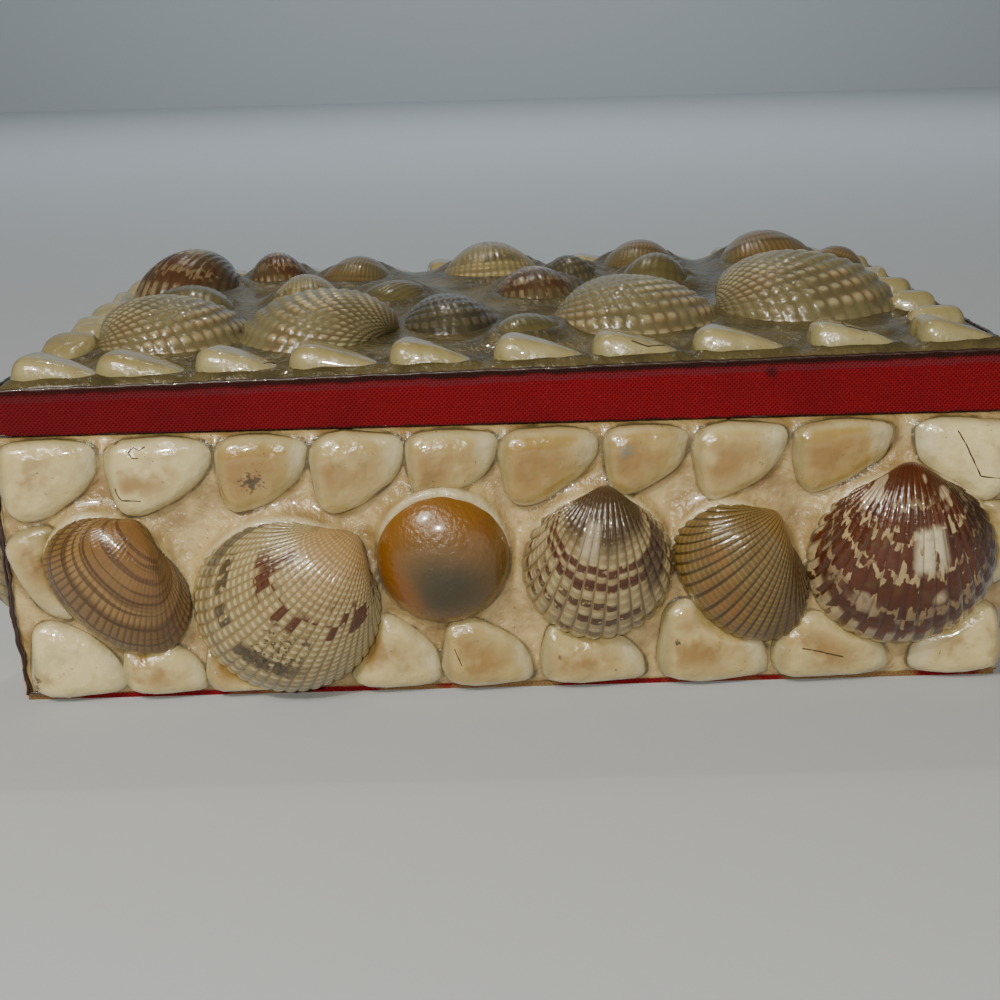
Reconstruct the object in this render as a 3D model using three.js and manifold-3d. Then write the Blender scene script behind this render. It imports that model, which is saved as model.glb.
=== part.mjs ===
// A souvenir box covered in sea shells. A card tray carries a bed of cream glue on each wall, with small
// wedge shells sunk in it along the edges and larger shells stuck on it. A shallow card lid sits over the
// top of the tray, with red cloth tape round its rim and a bed of shells on top. It lifts straight off.
// Millimetres, +Z up, front towards -Y. The origin is the middle of the underside.
import * as THREE from "three";
import { mergeVertices } from "three/addons/utils/BufferGeometryUtils.js";
import Module from "manifold-3d";

const wasm = await Module();
wasm.setup();

// Driving dimensions of the card tray and the cloth under it
const TRAY_LENGTH = 147.6;
const TRAY_DEPTH = 95.6;
const TRAY_HEIGHT = 46.2;
const TRAY_WALL = 2;
const TRAY_FLOOR = 2;
const BASE_CLOTH = 0.8;
const BASE_CLOTH_INSET = 0.4; // from the outer faces of the wall beds

// Driving dimensions of the lid, its tape and its bed
const RIM_DEPTH = 4.5; // how far the lid's rim reaches down outside the tray
const LID_PLAY = 0.3; // between the rim and the tray, on each side
const LID_CARD = 1.2;
const LID_CORNER = 1.5; // outer corner radius of the lid card
const TAPE_THICKNESS = 0.5;
const TAPE_HEIGHT_LEFT = 6.75; // the lid bed is thicker at the right end, and the tape widens with it
const TAPE_HEIGHT_RIGHT = 9.15;
const LID_BED_PROUD = 0.3; // how far the lid bed stands above the tape's upper edge
const POOL_RISE = 1.2; // of the glue between the border shells, above the bed at the lid's edge
const POOL_INSET = 11.5; // from the lid card's edge to the foot of that pool
const POOL_SLOPE = 1.5; // how far the pool's side leans in

// Driving dimensions of the wall beds and the shells
const BED_THICKNESS = 2.2;
const RIM_TO_BED = 0.3; // between the lid's rim and the top of the wall beds
const CORNER_SEAM = 0.2; // between the end walls' beds and the front and back ones
const SHELL_SEAT = 1.8; // from a wall's bed to the margin of a large shell, which lies on glue
const GLUE_LINE = 0.1; // between a large shell and the bed that carries it
const SHELL_GAP = 0.5; // between a large shell and the wedge shells that it covers
const WEDGE_HEIGHT = 3; // of a wedge shell above its bed
const WEDGE_SUNK = 1; // of a wedge shell below its bed's face
const WALL_MARGIN = 0.4; // of bare glue outside a wall's wedge shells
const LID_MARGIN = 1.6; // of bare glue outside the lid's border shells
const LARGE_SEGMENTS = 16; // sides of a front shell's margin
const SMALL_SEGMENTS = 12; // sides of any other large shell's margin
const CORNER_SEGMENTS = 3;
const CLEAR_DISTANCE = 30; // no large shell reaches a wedge shell that is further from it than this

// Sizes worked out from them
const length = TRAY_LENGTH + 2 * BED_THICKNESS;
const depth = TRAY_DEPTH + 2 * BED_THICKNESS;
const trayTop = BASE_CLOTH + TRAY_HEIGHT;
const rimBottom = trayTop - RIM_DEPTH;
const bedHeight = rimBottom - RIM_TO_BED - BASE_CLOTH;
const lidInnerLength = TRAY_LENGTH + 2 * LID_PLAY;
const lidInnerDepth = TRAY_DEPTH + 2 * LID_PLAY;
const lidLength = lidInnerLength + 2 * LID_CARD;
const lidDepth = lidInnerDepth + 2 * LID_CARD;
const cardTop = trayTop + LID_CARD;
const tapeLength = lidLength + 2 * TAPE_THICKNESS;
const tapeDepth = lidDepth + 2 * TAPE_THICKNESS;
const lidSlope = (TAPE_HEIGHT_RIGHT - TAPE_HEIGHT_LEFT) / tapeLength;
const tapeTopMiddle = rimBottom + (TAPE_HEIGHT_LEFT + TAPE_HEIGHT_RIGHT) / 2;

const cream = { color: 0xd8cda6, roughness: 0.25 };
const PAINTS = {
  card: { color: 0xb9a27c, roughness: 0.85 },
  cloth: { color: 0xa3101f, roughness: 0.9 },
  bed: cream,
  tan: { color: 0x9a6f42, roughness: 0.35 },
  speckled: { color: 0xcfc3a0, roughness: 0.3 },
  catseye: { color: 0xb07a33, roughness: 0.15 },
  reddish: { color: 0xa98468, roughness: 0.3 },
  golden: { color: 0xa08450, roughness: 0.35 },
  dark: { color: 0x7a4a35, roughness: 0.25 },
  beaded: { color: 0xb3a98a, roughness: 0.35 },
  olive: { color: 0x6f6b45, roughness: 0.35 },
  grey: { color: 0x77736a, roughness: 0.35 },
};

function paint(name) {
  return new THREE.MeshStandardMaterial({ metalness: 0, ...PAINTS[name] });
}

function named(name, geometry, paintName) {
  const mesh = new THREE.Mesh(geometry, paint(paintName));
  mesh.name = name;
  return mesh;
}

// A geometry as a manifold-3d solid, and back.
function solidOf(geometry) {
  const bare = new THREE.BufferGeometry();
  bare.setAttribute("position", geometry.getAttribute("position").clone());
  if (geometry.index) bare.setIndex(geometry.index.clone());
  const merged = mergeVertices(bare, 1e-4);
  return new wasm.Manifold(
    new wasm.Mesh({
      numProp: 3,
      vertProperties: new Float32Array(merged.attributes.position.array),
      triVerts: new Uint32Array(merged.index.array),
    }),
  );
}

function geometryOf(solid) {
  const mesh = solid.getMesh();
  const geometry = new THREE.BufferGeometry();
  geometry.setAttribute("position", new THREE.BufferAttribute(new Float32Array(mesh.vertProperties), 3));
  geometry.setIndex(new THREE.BufferAttribute(new Uint32Array(mesh.triVerts), 1));
  geometry.computeVertexNormals();
  return geometry;
}

// A closed body through rings of equally many points, which run anticlockwise seen from above. The first
// ring is its flat underside, and apex, a point, closes it at the top.
function loft(rings, apex) {
  const points = [...rings.flat(), apex];
  const count = rings[0].length;
  const index = [];
  for (let i = 1; i < count - 1; i++) index.push(0, i + 1, i);
  for (let ring = 0; ring < rings.length - 1; ring++) {
    for (let i = 0; i < count; i++) {
      const a = ring * count + i;
      const b = ring * count + ((i + 1) % count);
      index.push(a, b, b + count, a, b + count, a + count);
    }
  }
  const top = (rings.length - 1) * count;
  for (let i = 0; i < count; i++) index.push(top + i, top + ((i + 1) % count), points.length - 1);
  const geometry = new THREE.BufferGeometry().setFromPoints(points);
  geometry.setIndex(index);
  return geometry;
}

// A wedge shell's outline in shares of its length and width: the blunt end at -X, the straight edge at +Y.
const WEDGE_OUTLINE = [
  [-0.47, 0.47],
  [-0.5, -0.22],
  [-0.36, -0.48],
  [-0.1, -0.44],
  [0.3, -0.16],
  [0.5, 0.2],
  [0.4, 0.5],
];
// Its rings: how much of the outline is left, and at what share of the height
const WEDGE_RINGS = [[0.72, 0.84]];
const WEDGE_CROWN = [-0.1, 0.08]; // the place of its highest point

function wedgeShell({ size, straightEdgeDown = false }) {
  const [shellLength, shellWidth] = size;
  const side = straightEdgeDown ? -1 : 1;
  const outline = straightEdgeDown ? [...WEDGE_OUTLINE].reverse() : WEDGE_OUTLINE;
  const ring = (share, z) =>
    outline.map(([x, y]) => {
      const along = WEDGE_CROWN[0] + share * (x - WEDGE_CROWN[0]);
      const across = WEDGE_CROWN[1] + share * (y - WEDGE_CROWN[1]);
      return new THREE.Vector3(along * shellLength, side * across * shellWidth, z);
    });
  const rings = [ring(1, -WEDGE_SUNK), ...WEDGE_RINGS.map(([share, rise]) => ring(share, rise * WEDGE_HEIGHT))];
  const crown = new THREE.Vector3(WEDGE_CROWN[0] * shellLength, side * WEDGE_CROWN[1] * shellWidth, WEDGE_HEIGHT);
  return loft(rings, crown);
}

// One valve of a cockle or an ark shell, as it grows: each younger margin is a smaller copy of the last,
// turned further up about the hinge under the beak. Its margin lies in the plane z = 0, with its middle at
// the origin and the beak towards +Y, moved along the hinge by beakShift times the width. A seat lifts the
// margin off the bed on glue.
const COIL = 1.25; // the angle, in radians, at which the margin has shrunk by e
const COIL_FULLNESS = 1.5; // over 1 makes the shell stand up steeper from its margin
const COIL_LEVELS = [0, 22, 50, 88].map(THREE.MathUtils.degToRad);
const BEAK_TURN = THREE.MathUtils.degToRad(135);
const HINGE_SETBACK = 0.02; // of the margin from the hinge line, in shares of the height

function marginShare(angle) {
  return Math.exp(-((angle / COIL) ** COIL_FULLNESS));
}

// The highest point of a valve of height 1
const NATURAL_BULGE = Math.max(
  ...Array.from({ length: 91 }, (_, degrees) => {
    const angle = THREE.MathUtils.degToRad(degrees);
    return marginShare(angle) * Math.sin(angle);
  }),
);

// The margin's points, anticlockwise, measured from the hinge line and from the beak's place along it.
function valveMargin({ size, beakShift = 0, squareness = 2, segments = SMALL_SEGMENTS, grow = 0 }) {
  const width = size[0] + 2 * grow;
  const height = size[1] + 2 * grow;
  const rounded = (value) => Math.sign(value) * Math.abs(value) ** (2 / squareness);
  return Array.from({ length: segments }, (_, i) => {
    const turn = (2 * Math.PI * (i + 0.5)) / segments;
    const x = (-width / 2) * rounded(Math.sin(turn)) - beakShift * width;
    const y = height * (0.5 * rounded(Math.cos(turn)) - 0.5 - HINGE_SETBACK);
    return [x, y];
  });
}

function valve(shell) {
  const { size, bulge, beakShift = 0, seat = 0, grow = 0 } = shell;
  const width = size[0] + 2 * grow;
  const height = size[1] + 2 * grow;
  const lift = (bulge - seat + grow) / (NATURAL_BULGE * height);
  const margin = valveMargin(shell);
  const at = (angle) => {
    const share = marginShare(angle);
    return margin.map(
      ([x, y]) =>
        new THREE.Vector3(
          share * x + beakShift * width,
          share * y * Math.cos(angle) + height * (0.5 + HINGE_SETBACK),
          -share * y * Math.sin(angle) * lift,
        ),
    );
  };
  const beak = at(BEAK_TURN)
    .reduce((sum, point) => sum.add(point), new THREE.Vector3())
    .divideScalar(margin.length);
  const shellRings = COIL_LEVELS.map(at);
  if (!seat) return loft(shellRings, beak);
  for (const point of [...shellRings.flat(), beak]) point.z += seat;
  return loft([at(0), ...shellRings], beak);
}

// The lid of a turban snail's mouth, polished: a round dome, steep at its edge.
const DOME_LEVELS = [0, 0.32, 0.66]; // shares of a quarter turn, from its edge to its crown
const DOME_FULLNESS = 0.85; // under 1 makes the edge steeper than a ball's

function dome({ size, bulge, segments = SMALL_SEGMENTS, grow = 0 }) {
  const at = (level) => {
    const turn = (level * Math.PI) / 2;
    return Array.from({ length: segments }, (_, i) => {
      const around = (2 * Math.PI * (i + 0.5)) / segments;
      const share = Math.cos(turn) ** DOME_FULLNESS;
      return new THREE.Vector3(
        (size[0] / 2 + grow) * share * Math.cos(around),
        (size[1] / 2 + grow) * share * Math.sin(around),
        (bulge + grow) * Math.sin(turn),
      );
    });
  };
  return loft(DOME_LEVELS.map(at), new THREE.Vector3(0, 0, bulge + grow));
}

const SHAPES = { valve, dome };

// What a large shell takes out of the wedge shells that it covers: itself and all that is outside it,
// larger by a gap on every side.
function clearance(shell) {
  const grown = { ...shell, grow: SHELL_GAP };
  const body = SHAPES[shell.shape](grown);
  const position = body.getAttribute("position");
  const count = shell.segments ?? SMALL_SEGMENTS;
  const foot = Array.from({ length: count }, (_, i) => new THREE.Vector3().fromBufferAttribute(position, i));
  const head = foot.map((point) => point.clone().setZ(2 * WEDGE_HEIGHT));
  const column = loft([foot, head], new THREE.Vector3(0, 0, 2 * WEDGE_HEIGHT));
  return [body, column];
}

// Where one shell lies in its layout: turned about the outward normal, then moved.
function placement({ at, turn = 0 }, z) {
  const place = new THREE.Matrix4().makeRotationZ(THREE.MathUtils.degToRad(turn));
  return place.setPosition(at[0], at[1], z);
}

// A layout's shells, spread and stretched so that the outermost wedge shells reach to the margin of a panel
// of this width and height. The panel's frame has X to the right and Y up seen from outside, Z outwards, and
// its origin in the middle.
function fitted(layout, width, height, margin) {
  const reach = new THREE.Box3();
  for (const wedge of layout.wedges) {
    const geometry = wedgeShell(wedge).applyMatrix4(placement(wedge, 0));
    geometry.computeBoundingBox();
    reach.union(geometry.boundingBox);
  }
  const size = reach.getSize(new THREE.Vector3());
  const middle = reach.getCenter(new THREE.Vector3());
  const toPanel = new THREE.Matrix4().makeScale((width - 2 * margin) / size.x, (height - 2 * margin) / size.y, 1);
  return toPanel.multiply(new THREE.Matrix4().makeTranslation(-middle.x, -middle.y, 0));
}

// A bed with its wedge shells joined to it, each first cut clear of the large shells that cover it.
function bedWithWedges(base, { wedges, large }, toPanel, carrierZ) {
  let bed = solidOf(base);
  for (const wedge of wedges) {
    let piece = solidOf(wedgeShell(wedge).applyMatrix4(placement(wedge, 0)));
    for (const shell of large) {
      if (Math.hypot(shell.at[0] - wedge.at[0], shell.at[1] - wedge.at[1]) > CLEAR_DISTANCE) continue;
      for (const cutter of clearance(shell)) {
        piece = piece.subtract(solidOf(cutter.applyMatrix4(placement(shell, carrierZ - SHELL_GAP))));
      }
    }
    bed = bed.add(solidOf(geometryOf(piece).applyMatrix4(toPanel)));
  }
  return geometryOf(bed);
}

function largeShells(layout, toPanel, carrierZ) {
  return layout.map((shell) => {
    const geometry = SHAPES[shell.shape](shell);
    geometry.applyMatrix4(placement(shell, carrierZ + GLUE_LINE)).applyMatrix4(toPanel);
    return named(shell.name, geometry, shell.paint);
  });
}

// A wall's bed and shells, as a group in the wall's own frame.
function wall(name, layout, width) {
  const group = new THREE.Group();
  const slab = new THREE.BoxGeometry(width, bedHeight, BED_THICKNESS);
  slab.translate(0, 0, -BED_THICKNESS / 2);
  const toPanel = fitted(layout, width, bedHeight, WALL_MARGIN);
  group.add(named(name, bedWithWedges(slab, layout, toPanel, 0), "bed"));
  group.add(...largeShells(layout.large, toPanel, 0));
  return group;
}

// Stands a wall group up on the base cloth, facing away from the middle after a turn about +Z.
function stand(group, turn, distance) {
  const holder = new THREE.Group();
  group.rotation.x = Math.PI / 2;
  group.position.set(0, -distance, BASE_CLOTH + bedHeight / 2);
  holder.rotation.z = turn;
  holder.add(group);
  return holder;
}

// A row of wedge shells along an edge, blunt ends to the left: evenly spaced, with sizes that vary a little.
const ROW_VARIATION = [0, 0.5, -0.4, 0.2, -0.6, 0.4, -0.1, 0.6, -0.3, 0.1];

function wedgeRow({ count, from, to, y, size, turn = 0, straightEdgeDown = false }) {
  return Array.from({ length: count }, (_, i) => {
    const offset = ROW_VARIATION[i % ROW_VARIATION.length];
    return {
      at: [from + ((i + 0.5) * (to - from)) / count, y],
      size: [size[0] + offset, size[1] + ROW_VARIATION[(i + 3) % ROW_VARIATION.length]],
      turn: turn + 3 * offset,
      straightEdgeDown,
    };
  });
}

// The front wall, as it is in the photograph. Wedge shells: the upper row hangs from the wall's top edge,
// the lower row stands on its bottom edge, and one at each end points down.
const front = {
  wedges: [
    { at: [-67.8, 35], size: [14.6, 12.6] },
    { at: [-51.3, 35.3], size: [15.4, 12] },
    { at: [-36, 35.3], size: [13.6, 11.9] },
    { at: [-21.8, 35.1], size: [13.6, 12.4] },
    { at: [-7.7, 35.8], size: [13.6, 11] },
    { at: [6.7, 35.3], size: [14.2, 12] },
    { at: [21.2, 35.9], size: [12.6, 10.8] },
    { at: [35.2, 35.4], size: [13.6, 11.8] },
    { at: [50.5, 35.9], size: [14.6, 10.8] },
    { at: [67.9, 34.8], size: [15, 12.6], turn: 176, straightEdgeDown: true },
    { at: [-66.6, 6.6], size: [14.2, 12.6], straightEdgeDown: true },
    { at: [-53.2, 5.6], size: [12.4, 10.6], straightEdgeDown: true },
    { at: [-40.4, 5.6], size: [12.4, 10.6], straightEdgeDown: true },
    { at: [-17.4, 6.9], size: [13.6, 13], straightEdgeDown: true },
    { at: [-3.2, 6.1], size: [13.9, 11.6], straightEdgeDown: true },
    { at: [13.2, 5.7], size: [15.8, 10.8], straightEdgeDown: true },
    { at: [31.8, 7.1], size: [16.7, 13.8], straightEdgeDown: true },
    { at: [50, 5.9], size: [17.6, 11.2], straightEdgeDown: true },
    { at: [68.6, 6.2], size: [13.8, 11.6], turn: 180 },
    { at: [-71, 20.2], size: [15, 9.6], turn: -90 },
    { at: [71.2, 21.5], size: [13, 9], turn: -90 },
  ],
  large: [
    { name: "front_tan_ark", shape: "valve", paint: "tan", at: [-59.2, 18.8], size: [24.4, 17.6], bulge: 7, turn: -49, squareness: 2.3 },
    { name: "front_cream_cockle", shape: "valve", paint: "speckled", at: [-33.8, 14.5], size: [28.6, 28.2], bulge: 9.5, turn: -43 },
    { name: "front_cats_eye", shape: "dome", paint: "catseye", at: [-9.8, 21.7], size: [19.8, 20], bulge: 6.4 },
    { name: "front_speckled_cockle", shape: "valve", paint: "reddish", at: [13.6, 19.6], size: [22.8, 23.4], bulge: 8.6, turn: -5 },
    { name: "front_golden_ark", shape: "valve", paint: "golden", at: [35.3, 18.2], size: [24, 17.2], bulge: 7, turn: -54, beakShift: -0.2, squareness: 2.3 },
    { name: "front_dark_cockle", shape: "valve", paint: "dark", at: [59.7, 19.6], size: [28.8, 27.6], bulge: 9.6 },
  ].map((shell) => ({ ...shell, seat: SHELL_SEAT, segments: LARGE_SEGMENTS })),
};

// The back wall and the ends don't show in the photograph: the same two rows, and a line of large shells.
const EDGE_ROW = { size: [13.8, 11.4] };
const upperRow = (count, halfWidth) =>
  wedgeRow({ ...EDGE_ROW, count, from: -halfWidth, to: halfWidth, y: 35.2 });
const lowerRow = (count, halfWidth) =>
  wedgeRow({ ...EDGE_ROW, count, from: -halfWidth, to: halfWidth, y: 6.2, straightEdgeDown: true });

const back = {
  wedges: [...upperRow(10, 75), ...lowerRow(10, 75)],
  large: [
    { name: "back_cockle_1", shape: "valve", paint: "reddish", at: [-60, 20.6], size: [25, 26], bulge: 8.5, turn: 8 },
    { name: "back_cockle_2", shape: "valve", paint: "speckled", at: [-34.5, 20.2], size: [24, 25], bulge: 8.2, turn: -20 },
    { name: "back_golden_ark", shape: "valve", paint: "golden", at: [-10.5, 20.4], size: [23, 18], bulge: 7, turn: 50, beakShift: 0.15, squareness: 2.3 },
    { name: "back_cats_eye", shape: "dome", paint: "catseye", at: [11, 20.8], size: [18.6, 18.6], bulge: 6 },
    { name: "back_cockle_3", shape: "valve", paint: "dark", at: [34.5, 20.4], size: [26, 26.4], bulge: 8.8, turn: -6 },
    { name: "back_tan_ark", shape: "valve", paint: "tan", at: [60.5, 20.2], size: [23.5, 18], bulge: 7, turn: -40, squareness: 2.3 },
  ].map((shell) => ({ ...shell, seat: SHELL_SEAT })),
};

function endWall(side, paints) {
  const places = [-35.5, -11.8, 12, 35.8];
  const turns = [14, -24, 10, -12];
  return {
    wedges: [...upperRow(6, 47), ...lowerRow(6, 47)],
    large: places.map((x, i) => ({
      name: `${side}_cockle_${i + 1}`,
      shape: "valve",
      paint: paints[i],
      at: [x, 20.6],
      size: [21.5 + (i % 2), 22.5],
      bulge: 7.6,
      seat: SHELL_SEAT,
      turn: turns[i],
    })),
  };
}

// The lid's border: wedge shells with their straight edges outwards, along all four edges. The lid is drawn
// from above, with its front edge at -Y.
const BORDER_PLACES_FRONT = [-67, -53.9, -39.3, -24.6, -9.9, 6.5, 21.2, 37.1, 54.2];
const BORDER = { size: [13.4, 9], edge: 44.3, side: 69.6, from: -38.5, to: 38.5 };
const lidBorder = [
  ...BORDER_PLACES_FRONT.map((x, i) => ({
    at: [x, -BORDER.edge],
    size: [BORDER.size[0] + ROW_VARIATION[i], BORDER.size[1]],
    straightEdgeDown: true,
  })),
  { at: [69.6, -43.4], size: [11.6, 10], turn: 8, straightEdgeDown: true },
  ...wedgeRow({ count: 10, from: -75, to: 75, y: BORDER.edge, size: BORDER.size }),
  ...wedgeRow({ count: 5, from: BORDER.from, to: BORDER.to, y: 0, size: BORDER.size, straightEdgeDown: true }).flatMap((wedge) => [
    { ...wedge, at: [-BORDER.side, wedge.at[0]], turn: -90 + wedge.turn },
    { ...wedge, at: [BORDER.side, wedge.at[0]], turn: 90 + wedge.turn },
  ]),
];

// The shells inside the lid's border, in three rows from front to back.
const lidField = [
  { paint: "beaded", at: [-53.6, -21], size: [22, 22], bulge: 7.7, turn: 60 },
  { paint: "beaded", at: [-30.8, -22.6], size: [23.6, 21], bulge: 8, turn: -80 },
  { paint: "grey", at: [-7.8, -20], size: [15.4, 17.6], bulge: 5.8, turn: 20 },
  { paint: "olive", at: [4.8, -32.4], size: [13.4, 9.4], bulge: 3.4, turn: 30 },
  { paint: "beaded", at: [23, -20.6], size: [24.6, 23], bulge: 7.6, turn: 25 },
  { paint: "beaded", at: [53.2, -13.4], size: [27.8, 25.4], bulge: 9.6, turn: 50 },
  { paint: "olive", at: [-55.8, -0.8], size: [20, 13.6], bulge: 5.6, turn: -20 },
  { paint: "speckled", at: [-34.4, 0.6], size: [14.6, 16.6], bulge: 6.4, turn: 10 },
  { paint: "olive", at: [-19.6, 3.4], size: [13.4, 14], bulge: 4.4, turn: -60 },
  { paint: "dark", at: [7.4, 2.4], size: [16.4, 16.4], bulge: 5.9, turn: 15 },
  { paint: "olive", at: [29.4, 7.4], size: [14.4, 14], bulge: 6.8, turn: -20 },
  { paint: "tan", at: [62.8, 8.4], size: [13.8, 13.6], bulge: 6.6, turn: -40 },
  { paint: "dark", at: [-59.4, 17.6], size: [21.4, 21.4], bulge: 9.6, turn: -35 },
  { paint: "dark", at: [-43.2, 28.4], size: [13.8, 15.4], bulge: 7.2, turn: 12 },
  { paint: "tan", at: [-27.4, 24.4], size: [15.8, 16.4], bulge: 6.3, turn: -15 },
  { paint: "speckled", at: [-0.8, 25.4], size: [20.8, 20.6], bulge: 7.8, turn: 5 },
  { paint: "grey", at: [14.8, 19.2], size: [10.6, 11.6], bulge: 6.4, turn: 30 },
  { paint: "tan", at: [28.6, 26.4], size: [16.8, 17.4], bulge: 7, turn: -10 },
  { paint: "tan", at: [54.2, 26.8], size: [21.6, 19.6], bulge: 7.7, turn: 15 },
].map((shell, i) => ({ name: `lid_shell_${String(i + 1).padStart(2, "0")}`, shape: "valve", ...shell }));

function roundedRectangle(width, height, radius) {
  const shape = new THREE.Shape();
  const x = width / 2;
  const y = height / 2;
  shape.moveTo(-x + radius, -y);
  shape.absarc(x - radius, -y + radius, radius, -Math.PI / 2, 0);
  shape.absarc(x - radius, y - radius, radius, 0, Math.PI / 2);
  shape.absarc(-x + radius, y - radius, radius, Math.PI / 2, Math.PI);
  shape.absarc(-x + radius, -y + radius, radius, Math.PI, 1.5 * Math.PI);
  return shape;
}

function prism(shape, bottom, top) {
  const geometry = new THREE.ExtrudeGeometry(shape, {
    depth: top - bottom,
    bevelEnabled: false,
    curveSegments: CORNER_SEGMENTS,
  });
  return geometry.translate(0, 0, bottom);
}

// A prism from a level bottom up to the sloping plane that lies rise above the tape's upper edge.
function slopedPrism(shape, bottom, rise) {
  const geometry = prism(shape, bottom, tapeTopMiddle);
  const position = geometry.getAttribute("position");
  const middle = (bottom + tapeTopMiddle) / 2;
  for (let i = 0; i < position.count; i++) {
    if (position.getZ(i) > middle) position.setZ(i, tapeTopMiddle + rise + lidSlope * position.getX(i));
  }
  return geometry;
}

function block(width, depthY, bottom, top) {
  const geometry = new THREE.BoxGeometry(width, depthY, top - bottom);
  return geometry.translate(0, 0, (bottom + top) / 2);
}

function boxTray() {
  const outside = solidOf(block(TRAY_LENGTH, TRAY_DEPTH, BASE_CLOTH, trayTop));
  const innerLength = TRAY_LENGTH - 2 * TRAY_WALL;
  const innerDepth = TRAY_DEPTH - 2 * TRAY_WALL;
  const inside = solidOf(block(innerLength, innerDepth, BASE_CLOTH + TRAY_FLOOR, trayTop + TRAY_WALL));
  return named("box_tray", geometryOf(outside.subtract(inside)), "card");
}

function baseCloth() {
  const width = length - 2 * BASE_CLOTH_INSET;
  return named("base_cloth", block(width, depth - 2 * BASE_CLOTH_INSET, 0, BASE_CLOTH), "cloth");
}

function lidCard() {
  const outside = solidOf(prism(roundedRectangle(lidLength, lidDepth, LID_CORNER), rimBottom, cardTop));
  const inside = solidOf(block(lidInnerLength, lidInnerDepth, rimBottom - LID_CARD, trayTop));
  return named("lid_card", geometryOf(outside.subtract(inside)), "card");
}

function lidTape() {
  const ring = roundedRectangle(tapeLength, tapeDepth, LID_CORNER + TAPE_THICKNESS);
  ring.holes.push(new THREE.Path(roundedRectangle(lidLength, lidDepth, LID_CORNER).getPoints(CORNER_SEGMENTS)));
  return named("lid_tape", slopedPrism(ring, rimBottom, 0), "cloth");
}

// The lid's bed, its pool of glue and everything on it lie parallel to the sloping top of the tape.
function lidBedAndShells() {
  const tilt = new THREE.Matrix4().makeRotationY(-Math.atan(lidSlope));
  tilt.setPosition(0, 0, tapeTopMiddle + LID_BED_PROUD);
  const edge = roundedRectangle(lidLength, lidDepth, LID_CORNER);
  const slab = solidOf(slopedPrism(edge, cardTop, LID_BED_PROUD));
  const poolRing = (inset, z) => {
    const x = lidLength / 2 - inset;
    const y = lidDepth / 2 - inset;
    return [[-x, -y], [x, -y], [x, y], [-x, y]].map(([px, py]) => new THREE.Vector3(px, py, z));
  };
  const pool = loft(
    [poolRing(POOL_INSET, -POOL_RISE / 2), poolRing(POOL_INSET + POOL_SLOPE, POOL_RISE)],
    new THREE.Vector3(0, 0, POOL_RISE),
  );
  const base = geometryOf(slab.add(solidOf(pool.applyMatrix4(tilt))));
  const layout = { wedges: lidBorder, large: lidField };
  const toLid = tilt.multiply(fitted(layout, lidLength, lidDepth, LID_MARGIN));
  const bed = named("lid_bed", bedWithWedges(base, layout, toLid, POOL_RISE), "bed");
  return [bed, ...largeShells(lidField, toLid, POOL_RISE)];
}

const shellBox = new THREE.Group();
shellBox.add(baseCloth(), boxTray(), lidCard(), lidTape());
const endWidth = TRAY_DEPTH - 2 * CORNER_SEAM;
const leftShells = endWall("left", ["tan", "speckled", "dark", "reddish"]);
const rightShells = endWall("right", ["reddish", "golden", "speckled", "tan"]);
shellBox.add(stand(wall("front_bed", front, length), 0, depth / 2));
shellBox.add(stand(wall("back_bed", back, length), Math.PI, depth / 2));
shellBox.add(stand(wall("left_bed", leftShells, endWidth), -Math.PI / 2, length / 2));
shellBox.add(stand(wall("right_bed", rightShells, endWidth), Math.PI / 2, length / 2));
shellBox.add(...lidBedAndShells());

export default shellBox;
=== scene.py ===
# %% [markdown]
# # A box covered in sea shells
# The real thing is a small card box. Its walls and lid were spread with thick cream glue, and shells were
# pressed in while it was wet: two rows of ivory wedge shells along the edges, big ribbed shells between them.
# Then everything got a coat of gloss varnish. This lesson dresses the plain measured model of that box. The
# measured solids say where each shell is and how big it is, and this script grows a fine shell in each place.

# %% Load the measured model
import math
import bpy
import numpy as np
from mathutils import Matrix, Vector


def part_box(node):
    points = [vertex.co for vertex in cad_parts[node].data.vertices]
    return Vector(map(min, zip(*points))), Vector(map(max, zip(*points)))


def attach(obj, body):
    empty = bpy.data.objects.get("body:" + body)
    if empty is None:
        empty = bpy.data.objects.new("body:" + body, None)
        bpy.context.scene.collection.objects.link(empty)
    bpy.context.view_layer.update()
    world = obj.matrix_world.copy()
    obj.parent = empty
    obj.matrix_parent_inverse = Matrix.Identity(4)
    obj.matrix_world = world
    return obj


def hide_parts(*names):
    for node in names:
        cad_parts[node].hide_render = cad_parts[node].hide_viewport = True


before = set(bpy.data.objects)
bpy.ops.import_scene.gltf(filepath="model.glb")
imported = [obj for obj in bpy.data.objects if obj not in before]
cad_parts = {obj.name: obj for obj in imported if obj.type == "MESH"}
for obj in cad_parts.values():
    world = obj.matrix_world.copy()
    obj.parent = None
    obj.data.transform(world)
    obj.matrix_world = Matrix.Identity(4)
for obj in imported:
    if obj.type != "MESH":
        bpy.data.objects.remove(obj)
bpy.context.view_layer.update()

# %% [markdown]
# ## Sizes
# All lengths in this script are millimetres, as a maker would write them, and are turned into metres only
# when a piece is put in its place. The sizes of the panels come from the measured solids.

# %% Sizes of the panels
MM = 0.001


def box_of(node):
    low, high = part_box(node)
    return [value / MM for value in low], [value / MM for value in high]


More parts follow.
